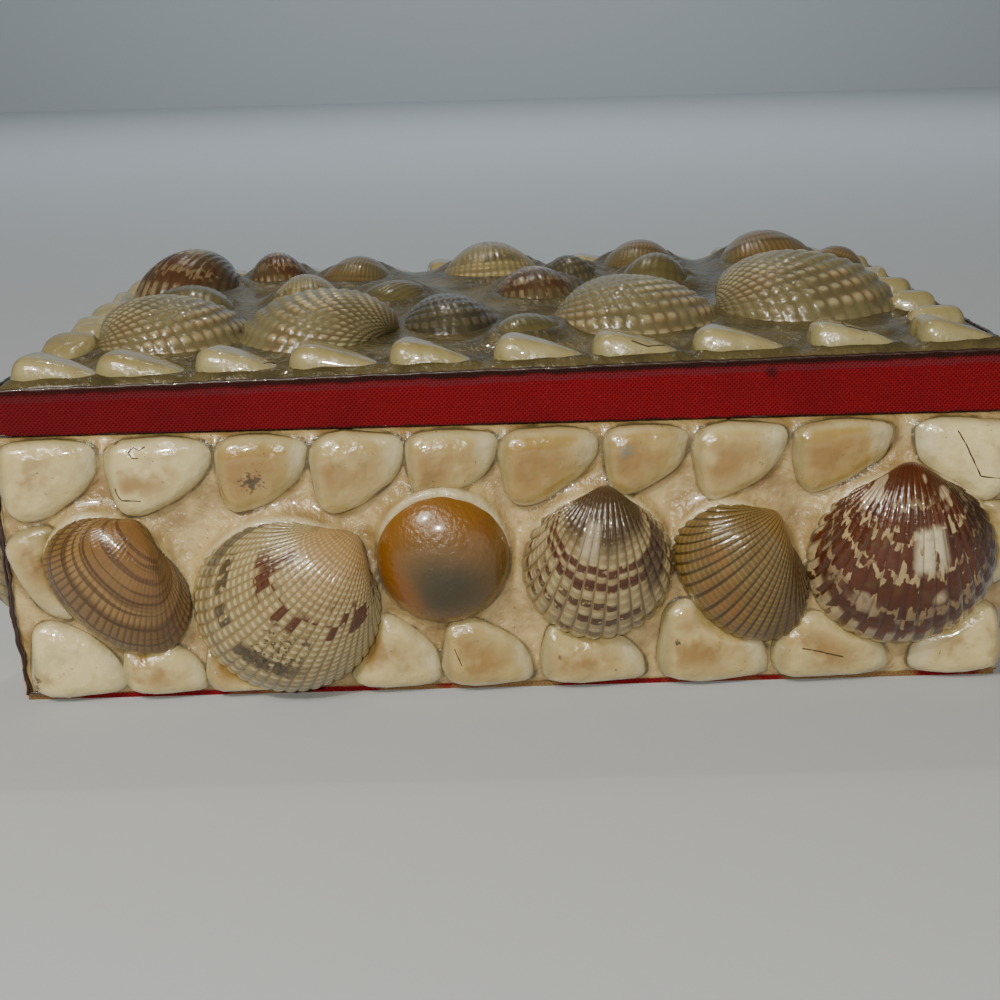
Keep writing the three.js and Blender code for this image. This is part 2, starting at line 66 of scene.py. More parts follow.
front_low, front_high = box_of("front_bed")
tape_low, tape_high = box_of("lid_tape")
card_low, card_high = box_of("lid_card")
BED_THICKNESS = 2.2
LENGTH = front_high[0] - front_low[0]
DEPTH = 100.0
BED_HEIGHT = front_high[2] - front_low[2]
BED_MIDDLE = (front_high[2] + front_low[2]) / 2
CORNER_SEAM = 0.2  # between the end walls' beds and the front and back ones
END_WIDTH = DEPTH - 2 * BED_THICKNESS - 2 * CORNER_SEAM
LID_LENGTH = card_high[0] - card_low[0]
LID_DEPTH = card_high[1] - card_low[1]
TAPE_HEIGHT_LEFT, TAPE_HEIGHT_RIGHT = 6.75, 9.15
TAPE_BOTTOM = tape_low[2]
LID_SLOPE = (TAPE_HEIGHT_RIGHT - TAPE_HEIGHT_LEFT) / (tape_high[0] - tape_low[0])
TAPE_TOP_MIDDLE = TAPE_BOTTOM + (TAPE_HEIGHT_LEFT + TAPE_HEIGHT_RIGHT) / 2
LID_BED_PROUD = 0.3
POOL_RISE = 1.2
WEDGE_HEIGHT = 3.0
WEDGE_SUNK = 1.0
GLUE_LINE = 0.1
SHELL_SEAT = 1.8
WALL_MARGIN, LID_MARGIN = 0.4, 1.6  # of bare glue outside the wedge shells
print("wall bed", round(LENGTH, 2), "x", round(BED_HEIGHT, 2))
print("lid", round(LID_LENGTH, 2), "x", round(LID_DEPTH, 2))

# %% [markdown]
# ## Where the shells lie
# Each wall and the lid has a layout, in millimetres on its own face: X to the right and Y up, seen from
# outside. A wedge shell has its place, its size, a turn, and whether its straight edge is at the bottom. A
# large shell also has its kind and how far it bulges. The front follows the photograph. The other walls
# repeat its scheme by rule, because they hardly show.

# %% The layouts
def wedge(x, y, length, width, turn=0, straight_edge_down=False):
    return {"at": (x, y), "size": (length, width), "turn": turn, "mirror": straight_edge_down}


def shell(name, kind, x, y, width, height, bulge, turn=0, **more):
    place = {"at": (x, y), "size": (width, height), "bulge": bulge, "turn": turn}
    return {"name": name, "kind": kind, **place, **more}


# an ark is squarer than a cockle, and its beak isn't in the middle of its hinge
ARK = {"beak_shift": -0.2, "squareness": 2.3}
FRONT = {
    "wedges": [
        wedge(-67.8, 35, 14.6, 12.6), wedge(-51.3, 35.3, 15.4, 12), wedge(-36, 35.3, 13.6, 11.9),
        wedge(-21.8, 35.1, 13.6, 12.4), wedge(-7.7, 35.8, 13.6, 11), wedge(6.7, 35.3, 14.2, 12),
        wedge(21.2, 35.9, 12.6, 10.8), wedge(35.2, 35.4, 13.6, 11.8), wedge(50.5, 35.9, 14.6, 10.8),
        wedge(67.9, 34.8, 15, 12.6, 176, True), wedge(-66.6, 6.6, 14.2, 12.6, 0, True),
        wedge(-53.2, 5.6, 12.4, 10.6, 0, True), wedge(-40.4, 5.6, 12.4, 10.6, 0, True),
        wedge(-17.4, 6.9, 13.6, 13, 0, True), wedge(-3.2, 6.1, 13.9, 11.6, 0, True),
        wedge(13.2, 5.7, 15.8, 10.8, 0, True), wedge(31.8, 7.1, 16.7, 13.8, 0, True),
        wedge(50, 5.9, 17.6, 11.2, 0, True), wedge(68.6, 6.2, 13.8, 11.6, 180),
        wedge(-71, 20.2, 15, 9.6, -90), wedge(71.2, 21.5, 13, 9, -90),
    ],
    # how tan each wedge shell is, from white to ochre
    "tones": [
        0.35, 0.2, 0.95, 0.7, 0.7, 1, 0.9, 0.65, 1, 0,
        0, 0.35, 0.6, 0.35, 0.75, 0.5, 0.6, 0.5, 0.25, 0.5, 0.5,
    ],
    "large": [
        shell("front_tan_ark", "tan", -59.2, 18.8, 24.4, 17.6, 7, -49, **ARK, tip=(0.07, 0.72)),
        shell("front_cream_cockle", "cream", -33.8, 14.5, 28.6, 28.2, 9.5, -43),
        shell("front_cats_eye", "cats_eye", -9.8, 21.7, 20.6, 21.8, 6.4),
        shell("front_speckled_cockle", "reddish", 13.6, 19.6, 22.8, 23.4, 8.6, -5),
        shell("front_golden_ark", "golden", 35.3, 18.2, 24, 17.2, 7, -54, **ARK, tip=(0.08, 0.75)),
        shell("front_dark_cockle", "dark", 59.7, 19.6, 28.8, 27.6, 9.6),
    ],
}
ROW_VARIATION = [0, 0.5, -0.4, 0.2, -0.6, 0.4, -0.1, 0.6, -0.3, 0.1]


def wedge_row(count, low, high, y, size, turn=0, straight_edge_down=False):
    row = []
    for i in range(count):
        offset = ROW_VARIATION[i % 10]
        width = size[1] + ROW_VARIATION[(i + 3) % 10]
        x = low + (i + 0.5) * (high - low) / count
        row.append(wedge(x, y, size[0] + offset, width, turn + 3 * offset, straight_edge_down))
    return row


def edge_rows(count, half_width):
    upper = wedge_row(count, -half_width, half_width, 35.2, (13.8, 11.4))
    return upper + wedge_row(count, -half_width, half_width, 6.2, (13.8, 11.4), 0, True)


BACK = {
    "wedges": edge_rows(10, 75),
    "large": [
        shell("back_cockle_1", "reddish", -60, 20.6, 25, 26, 8.5, 8),
        shell("back_cockle_2", "cream", -34.5, 20.2, 24, 25, 8.2, -20),
        shell("back_golden_ark", "golden", -10.5, 20.4, 23, 18, 7, 50, beak_shift=0.15, squareness=2.3),
        shell("back_cats_eye", "cats_eye", 11, 20.8, 18.6, 18.6, 6),
        shell("back_cockle_3", "dark", 34.5, 20.4, 26, 26.4, 8.8, -6),
        shell("back_tan_ark", "tan", 60.5, 20.2, 23.5, 18, 7, -40, squareness=2.3),
    ],
}


def end_wall(side, kinds):
    places = zip([-35.5, -11.8, 12, 35.8], [14, -24, 10, -12], kinds)
    large = [
        shell(f"{side}_cockle_{i + 1}", kind, x, 20.6, 21.5 + i % 2, 22.5, 7.6, turn)
        for i, (x, turn, kind) in enumerate(places)
    ]
    return {"wedges": edge_rows(6, 47), "large": large}


LEFT = end_wall("left", ["tan", "cream", "dark", "reddish"])
RIGHT = end_wall("right", ["reddish", "golden", "cream", "tan"])
side_row = wedge_row(5, -38.5, 38.5, 0, (13.4, 9), 0, True)
LID = {
    "wedges": [
        wedge(x, -44.3, 13.4 + ROW_VARIATION[i], 9, 0, True)
        for i, x in enumerate([-67, -53.9, -39.3, -24.6, -9.9, 6.5, 21.2, 37.1, 54.2])
    ]
    + [wedge(69.6, -43.4, 11.6, 10, 8, True)]
    + wedge_row(10, -75, 75, 44.3, (13.4, 9))
    + [{**one, "at": (-69.6, one["at"][0]), "turn": -90 + one["turn"]} for one in side_row]
    + [{**one, "at": (69.6, one["at"][0]), "turn": 90 + one["turn"]} for one in side_row],
    "large": [
        shell(f"lid_shell_{i + 1:02d}", *row)
        for i, row in enumerate([
            ("beaded", -53.6, -21, 22, 22, 7.7, 60), ("beaded", -30.8, -22.6, 23.6, 21, 8, -80),
            ("grey", -7.8, -20, 15.4, 17.6, 5.8, 20), ("olive", 4.8, -32.4, 13.4, 9.4, 3.4, 30),
            ("beaded", 23, -20.6, 24.6, 23, 7.6, 25), ("beaded", 53.2, -13.4, 27.8, 25.4, 9.6, 50),
            ("olive", -55.8, -0.8, 20, 13.6, 5.6, -20), ("cream", -34.4, 0.6, 14.6, 16.6, 6.4, 10),
            ("olive", -19.6, 3.4, 13.4, 14, 4.4, -60), ("dark", 7.4, 2.4, 16.4, 16.4, 5.9, 15),
            ("olive", 29.4, 7.4, 14.4, 14, 6.8, -20), ("tan", 62.8, 8.4, 13.8, 13.6, 6.6, -40),
            ("dark", -59.4, 17.6, 21.4, 21.4, 9.6, -35), ("dark", -43.2, 28.4, 13.8, 15.4, 7.2, 12),
            ("tan", -27.4, 24.4, 15.8, 16.4, 6.3, -15), ("cream", -0.8, 25.4, 20.8, 20.6, 7.8, 5),
            ("grey", 14.8, 19.2, 10.6, 11.6, 6.4, 30), ("tan", 28.6, 26.4, 16.8, 17.4, 7, -10),
            ("tan", 54.2, 26.8, 21.6, 19.6, 7.7, 15),
        ])
    ],
}

# %% [markdown]
# ## Panels
# A panel is one face of the box with its layout. Its matrix takes a point from the layout to its place on
# the box: first the layout is spread so that the outermost wedge shells reach to a margin, then the face is
# stood up, or for the lid tilted by the small slope of its bed, and millimetres become metres.

# %% A panel and its matrices
WEDGE_OUTLINE = np.array([
    (-0.47, 0.47), (-0.5, -0.22), (-0.36, -0.48), (-0.1, -0.44), (0.3, -0.16), (0.5, 0.2), (0.4, 0.5),
])


def turned(points, degrees):
    angle = math.radians(degrees)
    rotation = np.array([(math.cos(angle), math.sin(angle)), (-math.sin(angle), math.cos(angle))])
    return points @ rotation


def wedge_outline(one, outline=WEDGE_OUTLINE):
    scale = np.array(one["size"]) * (1, -1 if one["mirror"] else 1)
    return turned(outline * scale, one["turn"]) + one["at"]


class Panel:
    def __init__(self, name, layout, width, height, margin, place, carrier=0.0):
        self.name, self.layout, self.width, self.height = name, layout, width, height
        self.place, self.carrier = place, carrier
        corners = np.vstack([wedge_outline(one) for one in layout["wedges"]])
        low, high = corners.min(axis=0), corners.max(axis=0)
        self.middle = (low + high) / 2
        self.spread = (np.array((width, height)) - 2 * margin) / (high - low)

    def flat(self, points):
        """Points of the layout, in millimetres from the middle of the panel."""
        return (points - self.middle) * self.spread

    def lay(self, mesh, one=None, lift=0.0):
        """Moves a mesh from a shell's own axes, or from the panel's, to its place on the box."""
        matrix = self.place
        if one is not None:
            matrix = matrix @ Matrix.Diagonal((*self.spread, 1, 1)) @ Matrix.Translation((*-self.middle, 0))
            matrix = matrix @ Matrix.Translation((*one["at"], lift))
            matrix = matrix @ Matrix.Rotation(math.radians(one["turn"]), 4, "Z")
        mesh.transform(Matrix.Scale(MM, 4) @ matrix)


def wall_place(turn, distance):
    stand_up = Matrix.Translation((0, -distance, BED_MIDDLE)) @ Matrix.Rotation(math.pi / 2, 4, "X")
    return Matrix.Rotation(turn, 4, "Z") @ stand_up


LID_FACE = TAPE_TOP_MIDDLE + LID_BED_PROUD
tilt = Matrix.Translation((0, 0, LID_FACE)) @ Matrix.Rotation(-math.atan(LID_SLOPE), 4, "Y")
PANELS = [
    Panel("front", FRONT, LENGTH, BED_HEIGHT, WALL_MARGIN, wall_place(0, DEPTH / 2)),
    Panel("back", BACK, LENGTH, BED_HEIGHT, WALL_MARGIN, wall_place(math.pi, DEPTH / 2)),
    Panel("left", LEFT, END_WIDTH, BED_HEIGHT, WALL_MARGIN, wall_place(-math.pi / 2, LENGTH / 2)),
    Panel("right", RIGHT, END_WIDTH, BED_HEIGHT, WALL_MARGIN, wall_place(math.pi / 2, LENGTH / 2)),
    Panel("lid", LID, LID_LENGTH, LID_DEPTH, LID_MARGIN, tilt, POOL_RISE),
]
for panel in PANELS:
    print(panel.name, "spread", panel.spread.round(4), "middle", panel.middle.round(2))

# %% [markdown]
# ## Node arithmetic
# Both the shells' shapes and their colours are worked out by node trees. Wiring a formula by hand takes many
# lines, so a small wrapper lets a socket be added, multiplied and so on like a number. Each operation puts
# one Math node into the tree.

# %% Sockets that do arithmetic
class Field:
    def __init__(self, tree, socket):
        self.tree, self.socket = tree, socket

    def __add__(self, other): return arithmetic("ADD", self, other)
    def __radd__(self, other): return arithmetic("ADD", other, self)
    def __sub__(self, other): return arithmetic("SUBTRACT", self, other)
    def __rsub__(self, other): return arithmetic("SUBTRACT", other, self)
    def __mul__(self, other): return arithmetic("MULTIPLY", self, other)
    def __rmul__(self, other): return arithmetic("MULTIPLY", other, self)
    def __truediv__(self, other): return arithmetic("DIVIDE", self, other)
    def __rtruediv__(self, other): return arithmetic("DIVIDE", other, self)
    def __pow__(self, other): return arithmetic("POWER", self, other)
    def __neg__(self): return arithmetic("MULTIPLY", self, -1)


def feed(tree, socket, value):
    """Sets a socket, or links it if the value comes from another node."""
    if isinstance(value, Field):
        tree.links.new(value.socket, socket)
    elif value is not None:
        socket.default_value = value


def arithmetic(operation, *values):
    tree = next(value.tree for value in values if isinstance(value, Field))
    node = tree.nodes.new("ShaderNodeMath")
    node.operation = operation
    for socket, value in zip(node.inputs, values):
        feed(tree, socket, value)
    return Field(tree, node.outputs[0])


def add_node(tree, kind, inputs=(), output=0, **settings):
    node = tree.nodes.new(kind)
    for key, value in settings.items():
        setattr(node, key, value)
    for key, value in dict(inputs).items():
        feed(tree, node.inputs[key], value)
    return Field(tree, node.outputs[output])


def combine(tree, x=0.0, y=0.0, z=0.0):
    return add_node(tree, "ShaderNodeCombineXYZ", {"X": x, "Y": y, "Z": z})


def scaled(vector, factor):
    return add_node(vector.tree, "ShaderNodeVectorMath", {0: vector, "Scale": factor}, operation="SCALE")


def split(vector):
    node = vector.tree.nodes.new("ShaderNodeSeparateXYZ")
    feed(vector.tree, node.inputs[0], vector)
    return [Field(vector.tree, socket) for socket in node.outputs]


def step(value, low, high, start=0.0, end=1.0):
    """Rises smoothly from start to end while value goes from low to high."""
    inputs = {"Value": value, "From Min": low, "From Max": high, "To Min": start, "To Max": end}
    return add_node(value.tree, "ShaderNodeMapRange", inputs, interpolation_type="SMOOTHSTEP")


def noise(vector, scale=1.0, detail=2.0, roughness=0.5, output="Fac"):
    inputs = {"Vector": vector, "Scale": scale, "Detail": detail, "Roughness": roughness}
    return add_node(vector.tree, "ShaderNodeTexNoise", inputs, output)


# %% Geometry Nodes trees with named inputs
SOCKET_KINDS = {int: "Int", float: "Float", str: "Material"}  # what stands for each in a list of inputs


def new_tree(name, inputs, takes_geometry=False):
    tree = bpy.data.node_groups.new(name, "GeometryNodeTree")
    if takes_geometry:
        tree.interface.new_socket("Geometry", in_out="INPUT", socket_type="NodeSocketGeometry")
    for label, value in inputs.items():
        kind = SOCKET_KINDS.get(type(value), "Object")
        socket = tree.interface.new_socket(label, in_out="INPUT", socket_type=f"NodeSocket{kind}")
        if isinstance(value, (int, float)):
            socket.default_value = value
    tree.interface.new_socket("Geometry", in_out="OUTPUT", socket_type="NodeSocketGeometry")
    entry = tree.nodes.new("NodeGroupInput")
    return tree, {socket.name: Field(tree, socket) for socket in entry.outputs if socket.name}


def finish_tree(tree, geometry, material):
    """Every tree ends the same way: no instances are left, and its material is on it."""
    geometry = add_node(tree, "GeometryNodeRealizeInstances", {"Geometry": geometry})
    geometry = add_node(tree, "GeometryNodeSetShadeSmooth", {"Geometry": geometry})
    geometry = add_node(tree, "GeometryNodeSetMaterial", {"Geometry": geometry, "Material": material})
    end = tree.nodes.new("NodeGroupOutput")
    tree.links.new(geometry.socket, end.inputs[0])


def named_attribute(tree, name, kind="FLOAT"):
    return add_node(tree, "GeometryNodeInputNamedAttribute", {"Name": name}, data_type=kind)


def keep(tree, geometry, name, value, kind="FLOAT"):
    inputs = {"Geometry": geometry, "Name": name, "Value": value}
    return add_node(tree, "GeometryNodeStoreNamedAttribute", inputs, data_type=kind)


def grow(tree, values, start_mesh=None):
    """Runs a tree once and gives back its result as a plain mesh."""
    mesh = start_mesh or bpy.data.meshes.new("seed")
    maker = bpy.data.objects.new("maker", mesh)
    bpy.context.collection.objects.link(maker)
    modifier = maker.modifiers.new("tree", "NODES")
    modifier.node_group = tree
    for item in tree.interface.items_tree:
        if item.in_out == "INPUT" and item.name in values:
            modifier[item.identifier] = values[item.name]
    seen = bpy.context.evaluated_depsgraph_get()
    evaluated = maker.evaluated_get(seen)
    result = bpy.data.meshes.new_from_object(evaluated, preserve_all_data_layers=True, depsgraph=seen)
    maker.modifiers.remove(modifier)
    bpy.data.objects.remove(maker)
    return result


def show(name, mesh, replaced):
    piece = bpy.data.objects.new(name, mesh)
    mesh.name = name
    bpy.context.collection.objects.link(piece)
    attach(piece, "root")
    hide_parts(*replaced)
    return piece


# %% [markdown]
# ## Colours and finishes
# Every finish is a small shader tree. The varnish is the same on all shells: a clear coat with a sharp
# gloss. Under it, each kind of shell has pigments that follow its growth: rings where growth paused, blocks
# that sit on the ribs, or stains that run along them. The shape trees store where each point was in the
# shell's growth, in an attribute called fan (place around the margin, age, height on its rib), and the
# finishes read it. That way the pattern is bound to the shell and not to space.
# Some finishes also paint light into the colour: painted shade where glue and shells meet and in grooves, and
# painted highlights on glue ridges and bead tops.

# %% Colours as on a paint chart
def tint(code):
    channels = [int(code[i : i + 2], 16) / 255 for i in (0, 2, 4)]
    return (*[c / 12.92 if c <= 0.04045 else ((c + 0.055) / 1.055) ** 2.4 for c in channels], 1.0)


class Finish:
    """A material in the making. Its colour is built up in layers, like coats of paint."""

    def __init__(self, name, roughness=0.3, coat=0.0):
        self.material = bpy.data.materials.new(name)
        self.material.use_nodes = True
        self.tree = self.material.node_tree
        self.shader = self.tree.nodes["Principled BSDF"]
        self.shader.inputs["Roughness"].default_value = roughness
        self.shader.inputs["Coat Weight"].default_value = coat
        self.shader.inputs["Coat Roughness"].default_value = 0.05
        coordinates = self.tree.nodes.new("ShaderNodeTexCoord")
        self.place = scaled(Field(self.tree, coordinates.outputs["Object"]), 1 / MM)  # in millimetres
        self.colour = None

    def attribute(self, name, output="Fac"):
        return add_node(self.tree, "ShaderNodeAttribute", output=output, attribute_name=name)

    def blend(self, factor, under, over):
        inputs = {0: factor, 6: under, 7: over}
        return add_node(self.tree, "ShaderNodeMix", inputs, 2, data_type="RGBA")

    def start(self, under, over, factor):
        """The first coat, and a second colour over it by the factor."""
        self.colour = self.blend(factor, tint(under), tint(over))

    def layer(self, factor, code):
        """One more coat, as thick as the factor says."""
        self.colour = self.blend(factor, self.colour, tint(code))

    def paint(self, colour=None):
        feed(self.tree, self.shader.inputs["Base Color"], colour or self.colour)

    def relief(self, height, distance, strength=1.0):
        inputs = {"Height": height, "Distance": distance * MM, "Strength": strength}
        bump = add_node(self.tree, "ShaderNodeBump", inputs)
        feed(self.tree, self.shader.inputs["Normal"], bump)


# %% The glue
def glue_finish(name, pale, dark, stain, cream=0.75, coat=0.7, shine=0.5):
    """Cream glue, mottled, with dirt specks, painted shade at the shells, paler thick glue with a painted
    highlight where it climbs them, and a wet gloss.
    """
    finish = Finish(name, roughness=0.3, coat=coat)
    finish.shader.inputs["Specular IOR Level"].default_value = shine
    cloud = noise(finish.place, 0.16, 4.0)
    finish.start(pale, dark, step(cloud, 0.36, 0.68))
    blush = noise(finish.place, 0.42, 3.0)
    finish.layer(step(blush, 0.5, 0.72, 0.0, 0.7), stain)
    speck = noise(finish.place, 2.4, 1.0)
    finish.layer(step(speck, 0.72, 0.78, 0.0, 0.8), "4b3a28")
    gap = finish.attribute("gap")
    # painted shade: the glue darkens towards the dark colour within 1.6 mm of a shell
    finish.layer(step(gap, 0.0, 1.6, 0.35, 0.0), dark)
    # painted shadow line where the glue meets a shell, made patchy by a noise
    contact_shade_patchiness = step(noise(finish.place, 0.3, 2.0), 0.35, 0.6, 0.3, 0.95)
    finish.layer(step(gap, 0.03, 0.3, 0.95, 0.0) * contact_shade_patchiness, "453b22")
    # paler where the glue climbs a shell: whiter thick glue, and a painted highlight on the lit ridge
    finish.layer(step(finish.attribute("climb"), 1.4, 2.4, 0.0, cream), "c6b78f")
    finish.paint()
    finish.relief(noise(finish.place, 0.75, 3.0), 0.8, 0.6)
    return finish.material


wall_glue = glue_finish("wall_glue", "b9a270", "846b40", "997a54")
lid_glue = glue_finish("lid_glue", "5a5032", "3d3620", "4e4327", 0.0, 0.3, 0.25)


# %% [markdown]
# ## The ivory wedge shells
# The edges are lined with small wedge shells, worn smooth, from white to ochre. Each has a blunt flat end, one
# straight edge and one curved edge to a rounded tip. One good wedge shell is modelled ring by ring, and a
# Geometry Nodes tree puts a copy of it on every place of a layout, stretched and turned to its size. A copy
# whose straight edge is at the bottom is a mirror image, so its faces are flipped back to point outwards.

# %% The finish of a wedge shell
BLOTS = [
    # dirt and a chipped edge on the front: x, z, radius, colour
    (-37.8, 35.2, 2.0, "2f2314"), (-72.9, 4.7, 0.9, "54381c"), (-73.1, 3.2, 0.7, "54381c"),
    (25.6, 8.1, 0.7, "2f2314"), (7.6, 6.1, 0.5, "3b2c18"), (-57.6, 41.6, 0.6, "3b2c18"),
    (17.6, 38.5, 1.5, "6f6f5f"),
]


def add_blots(finish, blots, before=-45):
    """Ragged stains on the front wall, each round its own place."""
    x, y, z = split(finish.place)
    ragged = noise(finish.place, 1.7, 3.0, 0.6) - 0.5
    on_front = step(y, before, before - 1)
    for blot_x, blot_z, radius, code in blots:
        away = ((x - blot_x) ** 2.0 + (z - blot_z) ** 2.0) ** 0.5 / radius + ragged * 3.2
        finish.layer(step(away, 0.3, 0.75, 0.85, 0.0) * on_front, code)


def wedge_finish(name, veil=0.0):
    """Ivory with a tan heart, a paler rim, faint growth lines, painted shade low on its sides, and a painted
    shadow line where it meets the glue.
    """
    finish = Finish(name, roughness=0.26, coat=1.0)
    tone = finish.attribute("tone")
    x, y, rim = split(finish.attribute("spot", "Vector"))
    heart = noise(finish.place, 0.19, 3.0)
    finish.start("d0c08c", "9d8449", tone)
    middle = step(rim, 0.2, 0.9, 1.0, 0.0)
    ochre = middle * step(heart + tone * 0.22, 0.48, 0.68) * (0.3 if veil else 0.85)
    finish.layer(ochre, "86632e")
    finish.layer(step(rim + heart * 0.2, 0.85, 1.05, 0.0, 0.45), "d9cda9")
    finish.layer(step(x + heart * 0.4, 0.4, 0.7, 0.0, 0.6), "dcd2b4")
    lines = arithmetic("SINE", rim * 30 + heart * 26)
    finish.layer(step(lines, 0.2, 1.0, 0.0, 0.07), "8d7446")
    # painted shade: darker low on the shell's sides, near the glue
    finish.layer(step(finish.attribute("lift"), 0.8, 2.4, 0.55, 0.0), "857845")
    wet = step(noise(finish.place, 0.33, 2.0), 0.5, 0.66)
    finish.layer(wet * 0.3, "a08c5c")
    finish.layer(step(x, -0.47, -0.38, 0.55, 0.0), "7b7047")
    speck = noise(finish.place, 1.7, 3.0)
    finish.layer(step(speck, 0.68, 0.74, 0.0, 0.8), "54401f")
    # painted shadow line along the foot, where the shell meets the glue
    foot = step(finish.attribute("lift"), 0.45, 0.95, 1.0, 0.0)
    finish.layer(foot * 0.85, "4f4727")
    if veil:
        finish.layer(veil, "736d47")
    else:
        add_blots(finish, BLOTS)
    finish.paint()
    finish.relief(noise(finish.place, 0.3, 4.0, 0.4) + lines * 0.004, 1.0, 0.8)
    return finish.material


ivory = wedge_finish("ivory_wedge_shell")
veiled_ivory = wedge_finish("varnished_wedge_shell", 0.6)

# %% One wedge shell
def smooth_ring(points, steps):
    """A closed smooth curve through the points (Catmull-Rom)."""
    count = len(points)
    ring = []
    for i in range(count):
        a, b, c, d = (points[(i + k) % count] for k in (-1, 0, 1, 2))
        for t in np.arange(steps) / steps:
            bend = (2 * a - 5 * b + 4 * c - d) * t**2 + (3 * b - a - 3 * c + d) * t**3
            ring.append(0.5 * (2 * b + (c - a) * t + bend))
    return np.array(ring)


def ring_mesh(name, rings, label, marks):
    """A closed mesh through rings of equally many points, shut at both ends by one point.

    The marks are one triple for each point, and are kept on the mesh under the label."""
    count = len(rings[0])
    points = np.vstack([rings[0].mean(axis=0), *rings, rings[-1].mean(axis=0)])
    marks = np.vstack([marks[0].mean(axis=0), *marks, marks[-1].mean(axis=0)])
    top = len(points) - 1
    faces = []
    for i in range(count):
        j = (i + 1) % count
        faces.append((0, 1 + j, 1 + i))
        for ring in range(len(rings) - 1):
            a = 1 + ring * count
            faces.append((a + i, a + j, a + count + j, a + count + i))
        faces.append((top - count + i, top - count + j, top))
    mesh = bpy.data.meshes.new(name)
    mesh.from_pydata(points.tolist(), [], faces)
    layer = mesh.attributes.new(label, "FLOAT_VECTOR", "POINT")
    layer.data.foreach_set("vector", marks.astype(np.float32).ravel())
    return mesh


smooth_outline = smooth_ring(WEDGE_OUTLINE, 5)
CROWN = np.array((-0.26, 0.05))
wedge_shares = [1.0, 1.0, 0.993, 0.978, 0.952, 0.915, 0.86, 0.77, 0.63, 0.44, 0.2]


def wedge_prototype():
    rings, spots = [], []
    for k, share in enumerate(wedge_shares):
        flat = CROWN + share * (smooth_outline - CROWN)
        to_tip = np.clip((flat[:, 0] + 0.32) / 0.8, 0, 1)
        rise = WEDGE_HEIGHT * (1 - share**5) ** 0.5 * (1 - 0.42 * to_tip**1.3)
        rings.append(np.column_stack([flat, rise if k else np.full(len(flat), -WEDGE_SUNK)]))
        spots.append(np.column_stack([flat, np.full(len(flat), share)]))
    return ring_mesh("wedge_prototype", rings, "spot", spots)


wedge_seed = bpy.data.objects.new("wedge_seed", wedge_prototype())

# %% The tree that sets wedge shells out on a layout
wedge_tree, entry = new_tree("Wedge shells on a layout", {"Shell": None, "Material": ""}, takes_geometry=True)
size = named_attribute(wedge_tree, "size", "FLOAT_VECTOR")
turn = named_attribute(wedge_tree, "turn")
info = wedge_tree.nodes.new("GeometryNodeObjectInfo")
feed(wedge_tree, info.inputs["Object"], entry["Shell"])
points = add_node(wedge_tree, "GeometryNodeMeshToPoints", {"Mesh": entry["Geometry"]})
euler = combine(wedge_tree, 0.0, 0.0, turn)
one_shell = Field(wedge_tree, info.outputs["Geometry"])
placing = {"Points": points, "Instance": one_shell, "Rotation": euler, "Scale": size}
laid = add_node(wedge_tree, "GeometryNodeInstanceOnPoints", placing)
laid = add_node(wedge_tree, "GeometryNodeRealizeInstances", {"Geometry": laid})
mirrored = arithmetic("LESS_THAN", named_attribute(wedge_tree, "mirror"), 0.0)
laid = add_node(wedge_tree, "GeometryNodeFlipFaces", {"Mesh": laid, "Selection": mirrored})
finish_tree(wedge_tree, laid, entry["Material"])


# %% Where a large shell's margin runs
def large_outline(one, count=72):
    """The margin of a large shell on its layout."""
    psi = (np.arange(count) + 0.5) / count * math.tau
    power = 2 / one.get("squareness", 2)
    width, height = one["size"]
    x = -width / 2 * np.sign(np.sin(psi)) * np.abs(np.sin(psi)) ** power
    y = height / 2 * np.sign(np.cos(psi)) * np.abs(np.cos(psi)) ** power
    return turned(np.column_stack([x, y]), one["turn"]) + one["at"]


def distance_to(points, polygon):
    """Signed distance from each point to a closed outline: less than nothing inside it."""
    best = np.full(len(points), 1e9)
    inside = np.zeros(len(points), bool)
    for a, b in zip(polygon, np.roll(polygon, -1, axis=0)):
        side, offset = b - a, points - a
        along = np.clip(offset @ side / (side @ side + 1e-12), 0, 1)
        best = np.minimum(best, np.hypot(*(offset - along[:, None] * side).T))
        crosses = (a[1] > points[:, 1]) != (b[1] > points[:, 1])
        reach = a[0] + (points[:, 1] - a[1]) * side[0] / (side[1] if abs(side[1]) > 1e-12 else 1e-12)
        inside ^= crosses & (points[:, 0] < reach)
    return np.where(inside, -best, best)


# %% Set the wedge shells out
def ripple(x, y, wavelength, seed):
    """A gentle unevenness between -1 and 1, made of a few crossed waves."""
    chance = np.random.default_rng(seed)
    total = np.zeros_like(x)
    for _ in range(5):
        angle, phase = chance.uniform(0, math.tau, 2)
        length = wavelength * chance.uniform(0.7, 1.6)
        total += np.sin((x * math.cos(angle) + y * math.sin(angle)) / length * math.tau + phase)
    return total / 5


def vertex_array(mesh):
    values = np.empty(len(mesh.vertices) * 3, np.float32)
    mesh.vertices.foreach_get("co", values)
    return values.reshape(-1, 3).astype(float)


def write_vertices(mesh, points):
    mesh.vertices.foreach_set("co", points.astype(np.float32).ravel())
    mesh.update()


def add_float(mesh, name, values):
    layer = mesh.attributes.get(name) or mesh.attributes.new(name, "FLOAT", "POINT")
    layer.data.foreach_set("value", np.asarray(values, np.float32).ravel())


EDGE_WANDER = 0.3  # how far a wedge shell's outline strays from the good one
TUCKED, BURIED = 0.55, 4.0  # how steeply a wedge shell dips beside a large shell, and under it
LID_WEDGE_RISE, LID_TIP_DROP = 1.32, 0.45  # on the lid they are higher at the blunt end, lower at the tip


